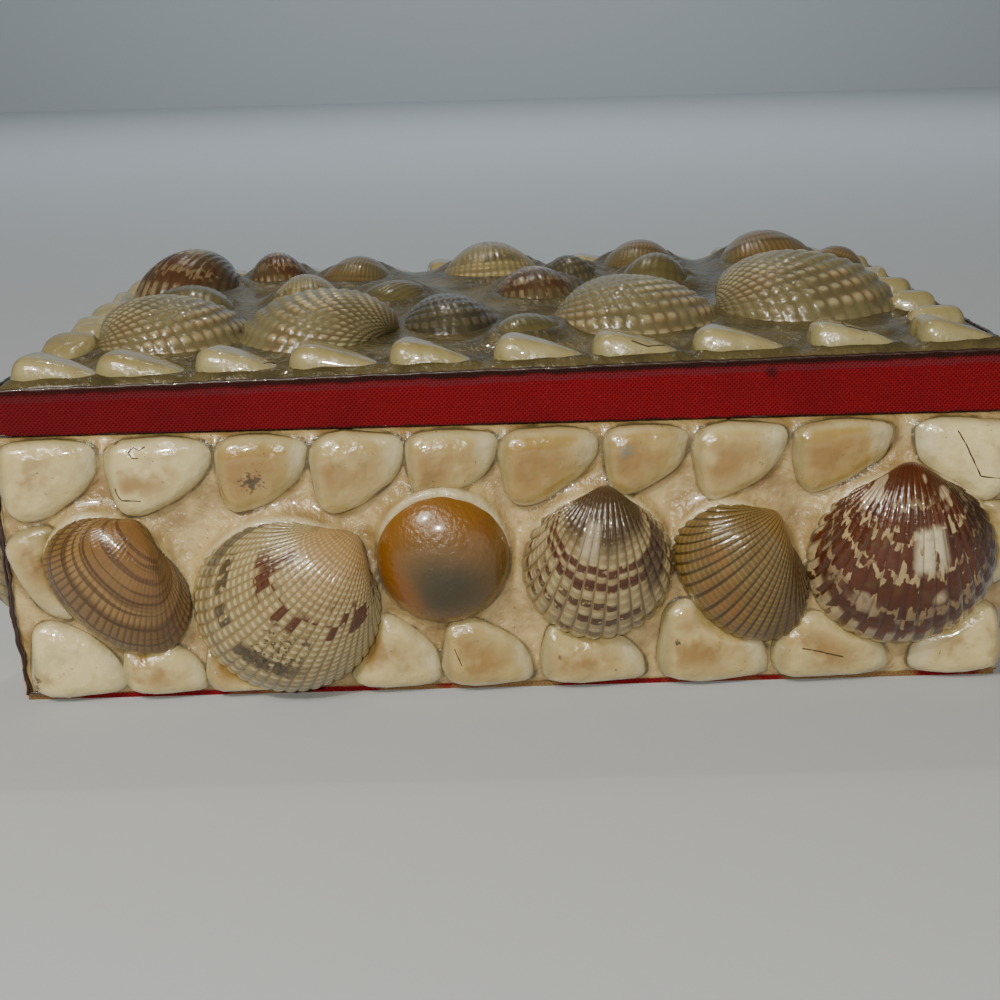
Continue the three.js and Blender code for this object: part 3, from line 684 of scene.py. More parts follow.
def lay_wedges(panel):
    seeds = bpy.data.meshes.new("places")
    wedges = panel.layout["wedges"]
    seeds.from_pydata([(*one["at"], 0) for one in wedges], [], [])
    facing = [-1 if one["mirror"] else 1 for one in wedges]
    sizes = seeds.attributes.new("size", "FLOAT_VECTOR", "POINT")
    scales = [(one["size"][0], one["size"][1] * side, 1) for one, side in zip(wedges, facing)]
    sizes.data.foreach_set("vector", np.array(scales, np.float32).ravel())
    add_float(seeds, "turn", [math.radians(one["turn"]) for one in wedges])
    add_float(seeds, "mirror", facing)
    chance = np.random.default_rng(len(panel.name) + 5)
    add_float(seeds, "tone", panel.layout.get("tones") or chance.uniform(0.1, 0.9, len(wedges)))
    material = veiled_ivory if panel.name == "lid" else ivory
    mesh = grow(wedge_tree, {"Shell": wedge_seed, "Material": material}, seeds)
    points = vertex_array(mesh)
    x, y = points[:, 0].copy(), points[:, 1].copy()
    points[:, 0] += EDGE_WANDER * ripple(x, y, 6, 11)
    points[:, 1] += EDGE_WANDER * ripple(x, y, 6, 12)
    for one in panel.layout["large"]:
        distance = distance_to(points[:, :2], large_outline(one))
        seat = panel.carrier if panel.name == "lid" else SHELL_SEAT
        limit = seat - GLUE_LINE + np.where(distance > 0, TUCKED, BURIED) * distance
        points[:, 2] = np.minimum(points[:, 2], np.maximum(limit, -WEDGE_SUNK))
    if panel.name == "lid":
        spots = np.empty(len(points) * 3, np.float32)
        mesh.attributes["spot"].data.foreach_get("vector", spots)
        to_tip = np.clip((spots[::3] + 0.3) / 0.8, 0, 1)
        stretch = LID_WEDGE_RISE * (1 - LID_TIP_DROP * to_tip**1.4)
        points[:, 2] = np.where(points[:, 2] > 0, points[:, 2] * stretch, points[:, 2])
    add_float(mesh, "lift", points[:, 2])
    points[:, :2] = panel.flat(points[:, :2])
    write_vertices(mesh, points)
    panel.lay(mesh)
    return mesh


def show_on_bed(name, mesh, bed):
    """Shows a piece that stands for a measured bed, and hides the bed."""
    show(name, mesh, [bed])
    print(name, len(mesh.polygons), "faces")


for panel in PANELS:
    show_on_bed(f"{panel.name}_wedge_shells", lay_wedges(panel), f"{panel.name}_bed")
bpy.data.objects.remove(wedge_seed)

# %% [markdown]
# ## The glue bed
# Wet glue creeps up anything pressed into it, so the bed is a height map: nearly level, with a soft ramp up
# to every shell that dies away within a millimetre or two. The ramp's height falls off with the distance to
# the shell's outline. The map is closed with a skirt and a back to make a solid slab.

# %% A height map of glue
# of the glue round a shell: how far it climbs, how far out it reaches, how much further it climbs above
LID_WEDGE_RAMP, WALL_WEDGE_RAMP = (1.0, 0.9, 0.15), (0.6, 0.5, 0.15)
WALL_SHELL_RAMP = (SHELL_SEAT - 0.4, 1.2, 1.5)


def shell_ramp(panel, one):
    if panel.name != "lid":
        return WALL_SHELL_RAMP
    # on the lid the varnish ran together behind the shells, so there it stands a third of their height up
    back_row = one["at"][1] > -10
    return 1.5, 2.8 if back_row else 2.2, 0.33 * one["bulge"]


def bank(value, start, steepness):
    """Goes from 0 to 1 as the value passes the start."""
    return 1 / (1 + np.exp(-(value - start) * steepness))


def glue_heights(panel, x, y):
    points = np.column_stack([x, y])
    height = 0.12 * ripple(x, y, 14, 3) + 0.06 * ripple(x, y, 4, 4)
    edge = np.minimum(panel.width / 2 - np.abs(x), panel.height / 2 - np.abs(y))
    if panel.name == "lid":
        # a pool inside the border, deeper in the back half
        height += POOL_RISE * 1.15 * bank(edge, 10.5, 0.9) + 1.3 * bank(y, 2, 0.4) * bank(edge, 11.5, 0.9)
    wedge_ramp = LID_WEDGE_RAMP if panel.name == "lid" else WALL_WEDGE_RAMP
    ramps = [(wedge_outline(one, smooth_outline), *wedge_ramp) for one in panel.layout["wedges"]]
    ramps += [(large_outline(one), *shell_ramp(panel, one)) for one in panel.layout["large"]]
    climb = np.zeros_like(height)
    gap = np.full_like(height, 9.0)
    for outline, top, reach, lift_above in ramps:
        outline = panel.flat(outline)
        low, high = outline.min(axis=0) - 9, outline.max(axis=0) + 9
        near = np.all((points > low) & (points < high), axis=1)
        distance = distance_to(points[near], outline)
        middle = outline.mean(axis=0)
        upward = (points[near, 1] - middle[1]) / (np.ptp(outline[:, 1]) / 2 + 1)
        ramp = (top + lift_above * np.clip(upward, 0, 1)) * np.exp(-np.maximum(distance, 0) / reach)
        climb[near] = (climb[near] ** 5 + ramp**5) ** 0.2
        gap[near] = np.minimum(gap[near], np.maximum(distance, 0))
    height = np.maximum(height, 0) + climb * (1 + 0.1 * ripple(x, y, 5, 9))
    return height * np.clip(edge / 1.1, 0, 1) ** 0.6 - 0.35 * np.exp(-edge / 0.35), gap, climb


def glue_bed(panel, spacing, material):
    columns = int(panel.width / spacing) + 1
    rows = int(panel.height / spacing) + 1
    xs = np.linspace(-panel.width / 2, panel.width / 2, columns)
    ys = np.linspace(-panel.height / 2, panel.height / 2, rows)
    x, y = (grid.ravel() for grid in np.meshgrid(xs, ys))
    height, gap, climb = glue_heights(panel, x, y)
    top = np.column_stack([x, y, height])
    border = [*range(columns), *range(2 * columns - 1, rows * columns, columns)]
    border += range(rows * columns - 2, (rows - 1) * columns - 1, -1)
    border += range((rows - 2) * columns, 0, -columns)
    skirt = top[border].copy()
    skirt[:, 2] = back_of(panel, skirt[:, 0])
    points = np.vstack([top, skirt])
    faces = [
        (r * columns + c, r * columns + c + 1, (r + 1) * columns + c + 1, (r + 1) * columns + c)
        for r in range(rows - 1) for c in range(columns - 1)
    ]
    start, count = len(top), len(border)
    for i in range(count):
        j = (i + 1) % count
        faces.append((border[j], border[i], start + i, start + j))
    faces.append(tuple(range(start + count - 1, start - 1, -1)))
    mesh = bpy.data.meshes.new("glue")
    mesh.from_pydata(points.tolist(), [], faces)
    mesh.polygons.foreach_set("use_smooth", np.ones(len(faces), bool))
    mesh.materials.append(material)
    add_float(mesh, "gap", np.concatenate([gap, np.full(len(skirt), 9.0)]))
    add_float(mesh, "climb", np.concatenate([climb, np.zeros(len(skirt))]))
    panel.lay(mesh)
    return mesh


def back_of(panel, x):
    """The underside of a bed: level with the card behind it."""
    if panel.name != "lid":
        return -BED_THICKNESS
    return card_high[2] - LID_FACE - LID_SLOPE * x


GRID_SPACING = {"front": 0.42, "lid": 0.6}
for panel in PANELS:
    material = lid_glue if panel.name == "lid" else wall_glue
    mesh = glue_bed(panel, GRID_SPACING.get(panel.name, 0.8), material)
    show_on_bed(f"{panel.name}_glue", mesh, f"{panel.name}_bed")

# %% [markdown]
# ## The ribbed shells
# A cockle or an ark grows by adding a slightly larger margin each season, turned about its hinge. So every
# younger margin is a smaller copy, turned further up, and all of them together make the coiled dome. The
# tree follows that rule: one direction of a grid runs round the margin, the other back in time to the beak.
# Ribs are the same all the way back in time, and growth lines are the same all the way round.

# %% The tree that grows one valve
COIL, FULLNESS, SETBACK = 1.25, 1.5, 0.02
YOUNGEST = 0.056  # size of the smallest margin, at the tip of the beak
FOOT_ROWS = 3
natural_bulge = max(math.exp(-((a / COIL) ** FULLNESS)) * math.sin(a) for a in np.radians(range(91)))


def signed_power(value, exponent):
    return arithmetic("SIGN", value) * arithmetic("ABSOLUTE", value) ** exponent


valve_tree, entry = new_tree("One valve of a ribbed shell", {
    "Around": 200, "Along": 72, "Width": 28.0, "Height": 28.0, "Bulge": 9.0, "Seat": SHELL_SEAT,
    "Beak Shift": 0.0, "Squareness": 2.0, "Ribs": 26.0, "Rib Depth": 0.5, "Beads": 20.0, "Bead Depth": 0.2,
    "Growth Lines": 9.0, "Line Depth": 0.3, "Tip": 0.0, "Tip At": 0.75, "Seed": 0.0, "Material": "",
})
grid_inputs = {"Size X": 1.0, "Size Y": 1.0, "Vertices X": entry["Around"] + 1, "Vertices Y": entry["Along"]}
grid = add_node(valve_tree, "GeometryNodeMeshGrid", grid_inputs)
px, py, _ = split(add_node(valve_tree, "GeometryNodeInputPosition"))
around = px + 0.5
last_row = entry["Along"] - 1
row = (py + 0.5) * last_row
open_ring = arithmetic("MINIMUM", arithmetic("MINIMUM", row, last_row - row), 1.0)
age = arithmetic("MAXIMUM", (row - FOOT_ROWS) / (last_row - FOOT_ROWS - 1), 0.0)
share = 1 - arithmetic("MINIMUM", age, 1.0) * (1 - YOUNGEST)
turned_up = COIL * arithmetic("MAXIMUM", -arithmetic("LOGARITHM", share, math.e), 0.0) ** (1 / FULLNESS)
psi = around * math.tau
power = 2 / entry["Squareness"]
tip = 1 + entry["Tip"] * arithmetic("EXPONENT", -(((around - entry["Tip At"]) / 0.055) ** 2.0))
ring_x = -0.5 * entry["Width"] * signed_power(arithmetic("SINE", psi), power) * open_ring * tip
ring_y = 0.5 * entry["Height"] * signed_power(arithmetic("COSINE", psi), power) * open_ring * tip
beak_x = entry["Beak Shift"] * entry["Width"]
hinge_y = entry["Height"] * (0.5 + SETBACK)
from_hinge = (ring_y - hinge_y) * share
lift = (entry["Bulge"] - entry["Seat"]) / (entry["Height"] * natural_bulge)
foot = arithmetic("MINIMUM", arithmetic("MAXIMUM", (row - 1) / 2, 0.0), 1.0)
x = share * (ring_x - beak_x) + beak_x
y = from_hinge * arithmetic("COSINE", turned_up) + hinge_y
z = -from_hinge * arithmetic("SINE", turned_up) * lift + (entry["Seat"] + 0.6) * foot - 0.6
crest = arithmetic("ABSOLUTE", arithmetic("COSINE", (around - 0.5) * entry["Ribs"] * math.pi)) ** 0.6
body = keep(valve_tree, grid, "fan", combine(valve_tree, around, share, crest), "FLOAT_VECTOR")
body = keep(valve_tree, body, "lift", z)
moved = {"Geometry": body, "Position": combine(valve_tree, x, y, z)}
body = add_node(valve_tree, "GeometryNodeSetPosition", moved)
body = add_node(valve_tree, "GeometryNodeMergeByDistance", {"Geometry": body, "Distance": 0.002})

# %% Ribs, beads and growth lines on the valve
around, share, crest = split(named_attribute(valve_tree, "fan", "FLOAT_VECTOR"))
fade = step(arithmetic("ABSOLUTE", around - 0.5), 0.36, 0.47, 1.0, 0.0)
bead = 0.5 + 0.5 * arithmetic("COSINE", share * entry["Beads"] * math.tau)
lines = noise(combine(valve_tree, share * entry["Growth Lines"], entry["Seed"], 0.0), 1.0, 3.0) - 0.5
knob = bead ** 0.7
ridge = entry["Rib Depth"] * (crest - 0.6) + entry["Bead Depth"] * crest * (knob - 0.6)
above_seat = step(named_attribute(valve_tree, "lift"), 0.0, 0.8)
raised = (ridge * fade + entry["Line Depth"] * lines) * share * above_seat
offset = scaled(add_node(valve_tree, "GeometryNodeInputNormal"), raised)
body = add_node(valve_tree, "GeometryNodeSetPosition", {"Geometry": body, "Offset": offset})
finish_tree(valve_tree, body, entry["Material"])


# %% [markdown]
# ## Finishes of the ribbed shells
# The photograph shows six large shells on the front, and each has its own pattern, so each kind has its own
# finish: tan with dark growth rings, cream with rust dashes, cream with rows of brown blocks, olive gold with
# grooves darkened by painted shade, dark red-brown with white zigzags. Several finishes also have painted
# shade in the rib grooves and on the right flank, and a painted highlight on the bead tops. The shells on the
# lid are sunk in thick murky varnish, which is laid over their lower parts as a veil.

# %% What the shell finishes share
class ShellFinish(Finish):
    """A finish that knows where each point was in the growth of its shell."""

    def __init__(self, name):
        super().__init__(name, roughness=0.28, coat=0.75)
        self.shader.inputs["Specular IOR Level"].default_value = 0.3
        self.around, self.share, self.crest = split(self.attribute("fan", "Vector"))

    def on_rib(self, ribs, bands, seed=0.0):
        """A random number that is the same all over one block of one rib."""
        rib = arithmetic("ROUND", (self.around - 0.5) * ribs)
        band = arithmetic("FLOOR", self.share * bands)
        return add_node(self.tree, "ShaderNodeTexWhiteNoise", {"Vector": combine(self.tree, rib, band, seed)})

    def along_ribs(self, across, along, seed=0.0, detail=2.0):
        """A noise: across and along say how fast it changes round the margin and along a rib."""
        return noise(combine(self.tree, self.around * across, self.share * along, seed), 1.0, detail)


def shell_finish(name, pattern, veil=0.0, drowned=1.3, murk_colour=None):
    """The pattern, then dirt, then murk on the lid, or on a wall a painted shadow line where the shell meets
    the glue.
    """
    finish = ShellFinish(name)
    pattern(finish, finish.around, finish.share, finish.crest)
    grime = step(noise(finish.place, 0.45, 5.0, 0.6), 0.48, 0.72)
    finish.layer(grime * 0.4, "544528")
    lift = finish.attribute("lift")
    if veil:
        cloud = step(noise(finish.place, 0.11, 3.0), 0.44, 0.58, veil * 0.4, veil)
        murk = arithmetic("MAXIMUM", cloud, step(lift, 0.1, drowned, 0.9, 0.0))
        finish.layer(murk, murk_colour)
    else:
        # painted shadow line low on the shell, where it meets the glue
        glue_line_shade = step(lift, 1.8, 2.5, 0.75, 0.0)
        finish.layer(glue_line_shade, "4e462f")
    finish.paint()
    finish.relief(noise(finish.place, 2.2, 2.0), 0.16, 0.5)
    return finish.material


def band_at(value, centre, half_width, soft=0.5):
    """One inside a band about centre, nothing outside it."""
    return step(arithmetic("ABSOLUTE", value - centre), half_width * soft, half_width, 1.0, 0.0)


def knobs(share, beads):
    return arithmetic("COSINE", share * beads * math.tau) * 0.5 + 0.5


# %% Tan ark
def tan_pattern(finish, around, share, crest):
    finish.start("5a4222", "7f6339", finish.along_ribs(9, 5))
    finish.layer(step(share, 0.45, 0.7, 0.6, 0.0), "7a552d")
    finish.layer(band_at(share, 0.7, 0.07) * 0.5, "95774a")
    rings = noise(combine(finish.tree, share * 19, 3.0, around * 1.2), 1.0, 3.0)
    finish.layer(step(rings, 0.52, 0.6, 0.0, 0.8), "4a311b")
    for centre in (0.62, 0.79, 0.9):
        wobble = finish.along_ribs(6, 0, centre * 9) * 0.03
        finish.layer(band_at(share + wobble, centre + 0.015, 0.012) * 0.8, "3d2815")
    # painted shade in the grooves between the ribs, on the outer part of the shell
    outer_groove_shade = step(crest, 0.35, 0.7, 0.75, 0.0) * step(share, 0.55, 0.8)
    finish.layer(outer_groove_shade, "47301a")
    # painted shade on the right side of the shell, away from the light
    finish.layer(step(around, 0.6, 0.72, 0.0, 0.45), "553a20")


# %% Cream cockle with rust dashes
def cream_pattern(finish, around, share, crest):
    finish.start("93825a", "786740", finish.along_ribs(9, 5))
    # painted highlight on the tops of the beads
    finish.layer(step(knobs(share, 34) * crest, 0.35, 0.8, 0.0, 0.5), "c6b88e")
    finish.layer(step(share, 0.25, 0.62, 0.5, 0.0), "a67c4a")
    wobble = share + finish.along_ribs(8, 0, 4.0) * 0.08 - 0.04
    ragged = finish.along_ribs(46, 20, 8.0)
    block = finish.on_rib(44, 15)
    torn = step(ragged, 0.36, 0.44)
    inner = band_at(wobble, 0.63, 0.06) * step(around, 0.25, 0.32) * step(block, 0.5, 0.54) * torn
    below = band_at(wobble, 0.56, 0.1) * step(around, 0.56, 0.62) * step(block, 0.7, 0.74) * torn
    streak = band_at(around, 0.35, 0.03) * band_at(share, 0.55, 0.12) * torn
    rust = arithmetic("MAXIMUM", arithmetic("MAXIMUM", inner, below), streak)
    finish.layer(rust * 0.95, "471a05")
    sides = step(around, 0.2, 0.27) * step(around, 0.66, 0.56)
    outer = band_at(wobble, 0.84, 0.04) * step(block, 0.45, 0.5) * sides * torn
    finish.layer(outer * 0.85, "33271a")
    pause = band_at(wobble, 0.92, 0.014) * sides
    finish.layer(pause * 0.5, "4a3e2a")
    shadow = band_at(share, 0.93, 0.05) * step(around, 0.34, 0.26)
    finish.layer(shadow * 0.7, "3d3a36")
    dirt = step(noise(finish.place, 1.3, 3.0), 0.54, 0.6)
    dirt = dirt * band_at(around, 0.54, 0.08) * band_at(share, 0.77, 0.14)
    finish.layer(dirt * 0.85, "2f2417")
    # painted shade in the grooves between the ribs
    finish.layer(step(crest, 0.15, 0.5, 0.4, 0.0), "66543a")


# %% Cockle with rows of brown blocks
def block_pattern(finish, around, share, crest):
    finish.start("978660", "74623e", finish.along_ribs(12, 5))
    # painted highlight on the tops of the beads
    finish.layer(step(knobs(share, 22) * crest, 0.4, 0.8, 0.0, 0.4), "b9aa84")
    block = finish.on_rib(28, 12)
    wobble = share + finish.along_ribs(5, 0, 6.0) * 0.05 + finish.on_rib(28, 0.1, 3.0) * 0.03
    row = arithmetic("SINE", wobble * 12.5 * math.tau)
    torn = step(finish.along_ribs(44, 24, 2.0), 0.34, 0.42)
    sparse = step(finish.along_ribs(6, 4, 9.0), 0.36, 0.46)
    spotted = step(row, 0.0, 0.35) * step(crest, 0.35, 0.6) * step(block, 0.34, 0.4) * torn * sparse
    spotted = spotted * step(share, 0.6, 0.72) * step(share, 0.99, 0.93)
    finish.layer(spotted * 0.9, "3a1704")
    double = arithmetic("MAXIMUM", band_at(wobble, 0.66, 0.026), band_at(wobble, 0.725, 0.026))
    finish.layer(double * step(crest, 0.2, 0.5) * torn * 0.95, "421805")
    beak = step(share + finish.along_ribs(30, 1, 2.0) * 0.12, 0.5, 0.66, 0.9, 0.0)
    finish.layer(beak, "34210f")
    pale = band_at(around, 0.44, 0.05) * band_at(share, 0.48, 0.12)
    finish.layer(pale * 0.6, "b5a88c")
    # painted shade on the right flank, away from the light
    right_flank_shade = band_at(around, 0.74, 0.13) * band_at(share, 0.72, 0.15)
    finish.layer(right_flank_shade * 0.8, "331d12")
    # painted shade in the grooves between the ribs
    finish.layer(step(crest, 0.15, 0.5, 0.6, 0.0), "453420")


# %% Golden ark
def golden_pattern(finish, around, share, crest):
    finish.start("87703f", "644c25", finish.along_ribs(10, 7))
    finish.layer(step(knobs(share, 30), 0.4, 1.0, 0.5, 0.0), "4c3818")
    rust = step(finish.along_ribs(4, 3, 5.0), 0.5, 0.7)
    finish.layer(rust * 0.5, "7f5226")
    # painted shade on the right flank, away from the light
    finish.layer(step(around, 0.62, 0.78, 0.0, 0.75), "49321a")
    finish.layer(step(share, 0.2, 0.45, 0.6, 0.0), "8a6a38")
    # painted shade in the grooves between the ribs
    finish.layer(step(crest, 0.25, 0.6, 0.85, 0.0), "2f260f")


# %% Dark cockle with white zigzags
def zigzag_pattern(finish, around, share, crest):
    finish.start("5c2a0c", "2f1607", finish.along_ribs(14, 6))
    jag = finish.along_ribs(46, 11, 1.0, 4.0)
    wave = arithmetic("SINE", share * 6.5 * math.tau + jag * 11)
    white = step(wave, 0.45, 0.75) * step(share, 0.3, 0.45)
    ragged = finish.on_rib(56, 26)
    finish.layer(white * step(ragged, 0.2, 0.35) * 0.85, "a8936a")
    patch = band_at(around, 0.54, 0.06) * band_at(share, 0.57, 0.11) * step(jag, 0.36, 0.44)
    finish.layer(patch * 0.9, "c4b999")
    blotch = step(finish.along_ribs(6, 4, 7.0), 0.58, 0.64)
    finish.layer(blotch * 0.6, "bcaa8a")
    dashes = step(share, 0.9, 0.93) * step(arithmetic("SINE", around * 28 * math.tau), -0.2, 0.2)
    finish.layer(dashes * 0.8, "9c8a68")
    # painted shade on the right side, away from the light
    finish.layer(step(around, 0.66, 0.76, 0.0, 0.75), "23120b")
    finish.layer(band_at(share, 0.84, 0.07) * 0.5, "3b1a0c")
    # painted shade in the grooves between the ribs
    finish.layer(step(crest, 0.15, 0.45, 0.45, 0.0), "2b170c")


# %% Beaded, olive and grey shells of the lid
def beaded_pattern(finish, around, share, crest):
    bead = knobs(share, 18) * crest
    patch = step(finish.along_ribs(5, 3, 3.0), 0.42, 0.6)
    finish.start("aca078", "86694a", patch)
    dark = step(noise(finish.place, 0.07, 1.0), 0.5, 0.62)
    finish.layer(dark * 0.75, "474232")
    # painted highlight on the tops of the beads
    finish.layer(step(bead, 0.45, 0.95, 0.0, 0.5), "cbc198")
    # painted shade in the hollows between the beads
    finish.layer(step(bead, 0.1, 0.5, 0.8, 0.0), "453d24")


def olive_pattern(finish, around, share, crest):
    finish.start("5d542e", "3d381d", finish.along_ribs(8, 9))
    finish.layer(step(arithmetic("SINE", share * 60), 0.3, 0.9, 0.0, 0.35), "2b2714")


def grey_pattern(finish, around, share, crest):
    bead = knobs(share, 13) * crest
    finish.start("5b5340", "413a2c", finish.along_ribs(10, 6))
    # painted shade in the grooves and hollows between the beads
    finish.layer(step(bead, 0.15, 0.6, 0.85, 0.0), "1d1912")


PATTERNS = {
    "tan": tan_pattern, "cream": cream_pattern, "reddish": block_pattern, "golden": golden_pattern,
    "dark": zigzag_pattern, "beaded": beaded_pattern, "olive": olive_pattern, "grey": grey_pattern,
}
wall_finishes = {kind: shell_finish(f"{kind}_shell", pattern) for kind, pattern in PATTERNS.items()}
# how thick the murk is on a lid shell, how far up it drowns it, and its colour
MURK = {
    "beaded": (0.95, 1.6, "696143"), "dark": (0.8, 4.0, "4a3f29"),
    "cream": (0.7, 2.5, "6d6544"), "grey": (0.5, 2.0, "4d4733"),
}
lid_finishes = {
    kind: shell_finish(f"{kind}_shell_in_varnish", pattern, *MURK.get(kind, (0.9, 3.5, "5b5335")))
    for kind, pattern in PATTERNS.items()
}

# %% [markdown]
# ## The cat's-eyes
# Between the ribbed shells sits a cat's-eye: the smooth stony door of a turban snail. It is a plain round
# dome, steep at the edge, amber with a green-grey heart that lies a little below and right of the middle.

# %% A cat's-eye and its finish
def cats_eye_finish():
    finish = Finish("cats_eye", roughness=0.32, coat=0.6)
    finish.shader.inputs["Coat Roughness"].default_value = 0.12
    x, y, share = split(finish.attribute("fan", "Vector"))
    warp = noise(finish.place, 0.12, 2.0) - 0.5
    from_heart = (((x - 0.1) * 0.75) ** 2.0 + (y + 0.3) ** 2.0) ** 0.5 + warp * 0.35
    finish.start("37311c", "67491e", step(from_heart, 0.1, 0.72))
    finish.layer(step(from_heart, 0.6, 1.05), "754d12")
    left = step(-x - y * 0.4 + warp, 0.35, 0.85)
    finish.layer(left * 0.8, "74450f")
    spot = step(((x - 0.62) ** 2.0 + (y - 0.5) ** 2.0) ** 0.5 + warp * 0.2, 0.1, 0.2, 0.5, 0.0)
    finish.layer(spot, "6d4417")
    finish.layer(step(share, 0.93, 1.0) * 0.5, "7b6a3f")
    finish.paint()
    finish.relief(noise(finish.place, 1.2, 4.0), 0.3, 0.7)
    return finish.material


cats_eye = cats_eye_finish()


def dome(one, count=96):
    """Rings of a dome, from its foot in the glue to its crown."""
    width, height = one["size"]
    psi = np.arange(count) / count * math.tau
    circle = np.column_stack([np.cos(psi), np.sin(psi)])
    rings, marks = [], []
    for level in [-0.1, *np.linspace(0, 0.97, 30)]:
        lean = max(level, 0) * math.pi / 2
        share = math.cos(lean) ** 0.85
        rise = one["bulge"] * math.sin(lean) if level >= 0 else -0.6
        rings.append(np.column_stack([circle * share * (width / 2, height / 2), np.full(count, rise)]))
        marks.append(np.column_stack([circle * share, np.full(count, share)]))
    return ring_mesh("dome", rings, "fan", marks)


# %% Grow every large shell
RELIEF = {
    # kind: ribs, rib depth, beads, bead depth, growth lines, line depth
    "tan": (52, 0.16, 20, 0.02, 12, 0.8),
    "cream": (44, 0.26, 34, 0.2, 8, 0.3),
    "reddish": (28, 0.55, 22, 0.2, 8, 0.3),
    "golden": (36, 0.45, 30, 0.2, 9, 0.3),
    "dark": (30, 0.36, 24, 0.1, 8, 0.35),
    "beaded": (38, 0.32, 18, 0.6, 8, 0.9),
    "olive": (24, 0.3, 20, 0.1, 9, 0.4),
    "grey": (28, 0.4, 13, 0.8, 8, 0.3),
}


# these stand at the foot of the pool: they are larger than the measured ones, and their front margins
# reach down to the border
SPREAD = {"beaded": 1.19, "grey": 1.1}
SET_FORWARD, SUNK = 2.2, 0.6
ACROSS_A_RIB, ALONG_A_RIB = 4, 36  # points of the grid, on a wall that hardly shows
FINE_GRIDS = {"front": (8, 84), "lid": (4, 60)}


def grow_valve(panel, one, seed):
    ribs, rib_depth, beads, bead_depth, lines, line_depth = RELIEF[one["kind"]]
    small = min(one["size"]) / 27
    spread = SPREAD.get(one["kind"], 1.0)
    finishes = lid_finishes if panel.name == "lid" else wall_finishes
    around, along = FINE_GRIDS.get(panel.name, (ACROSS_A_RIB, ALONG_A_RIB))
    if one["kind"] == "beaded":
        around, along = 6, 84
    if min(one["size"]) < 18:
        around, along = 4, min(along, 48)
    return grow(valve_tree, {
        "Around": ribs * around, "Along": along,
        "Width": one["size"][0] * spread, "Height": one["size"][1] * spread, "Bulge": float(one["bulge"]),
        "Seat": 0.0 if panel.name == "lid" else SHELL_SEAT, "Beak Shift": float(one.get("beak_shift", 0)),
        "Squareness": float(one.get("squareness", 2)), "Ribs": float(ribs), "Rib Depth": rib_depth * small,
        "Beads": float(beads), "Bead Depth": bead_depth * small, "Growth Lines": float(lines),
        "Line Depth": line_depth * small, "Tip": float(one.get("tip", (0, 0))[0]),
        "Tip At": float(one.get("tip", (0, 0.75))[1]), "Seed": float(seed), "Material": finishes[one["kind"]],
    })


def volume_sign(mesh):
    points = vertex_array(mesh)
    mesh.calc_loop_triangles()
    corners = np.array([triangle.vertices[:] for triangle in mesh.loop_triangles])
    a, b, c = (points[corners[:, k]] for k in range(3))
    return float(np.einsum("ij,ij->i", a, np.cross(b, c)).sum())


total = 0
for panel in PANELS:
    for number, one in enumerate(panel.layout["large"]):
        if one["kind"] == "cats_eye":
            mesh = dome(one)
            mesh.polygons.foreach_set("use_smooth", np.ones(len(mesh.polygons), bool))
            mesh.materials.append(cats_eye)
        else:
            mesh = grow_valve(panel, one, number + len(panel.name))
        if volume_sign(mesh) < 0:
            mesh.flip_normals()
        sunk = 0.0
        if one["kind"] in SPREAD:
            sunk = SUNK
            one = {**one, "at": (one["at"][0], one["at"][1] - SET_FORWARD)}
        panel.lay(mesh, one, panel.carrier + GLUE_LINE - sunk)
        show(f"{one['name']}_fine", mesh, [one["name"]])
        total += len(mesh.polygons)
print("large shells", total, "faces")

# %% [markdown]
# ## Cloth and card
# The rim of the lid is wrapped in a band of crimson bookbinding cloth, a plain weave about a third of a
# millimetre from thread to thread. The same cloth is glued under the box. The threads are too fine to model
# one by one, so the weave is in the finish: crossed waves give its bump and its darker gaps.

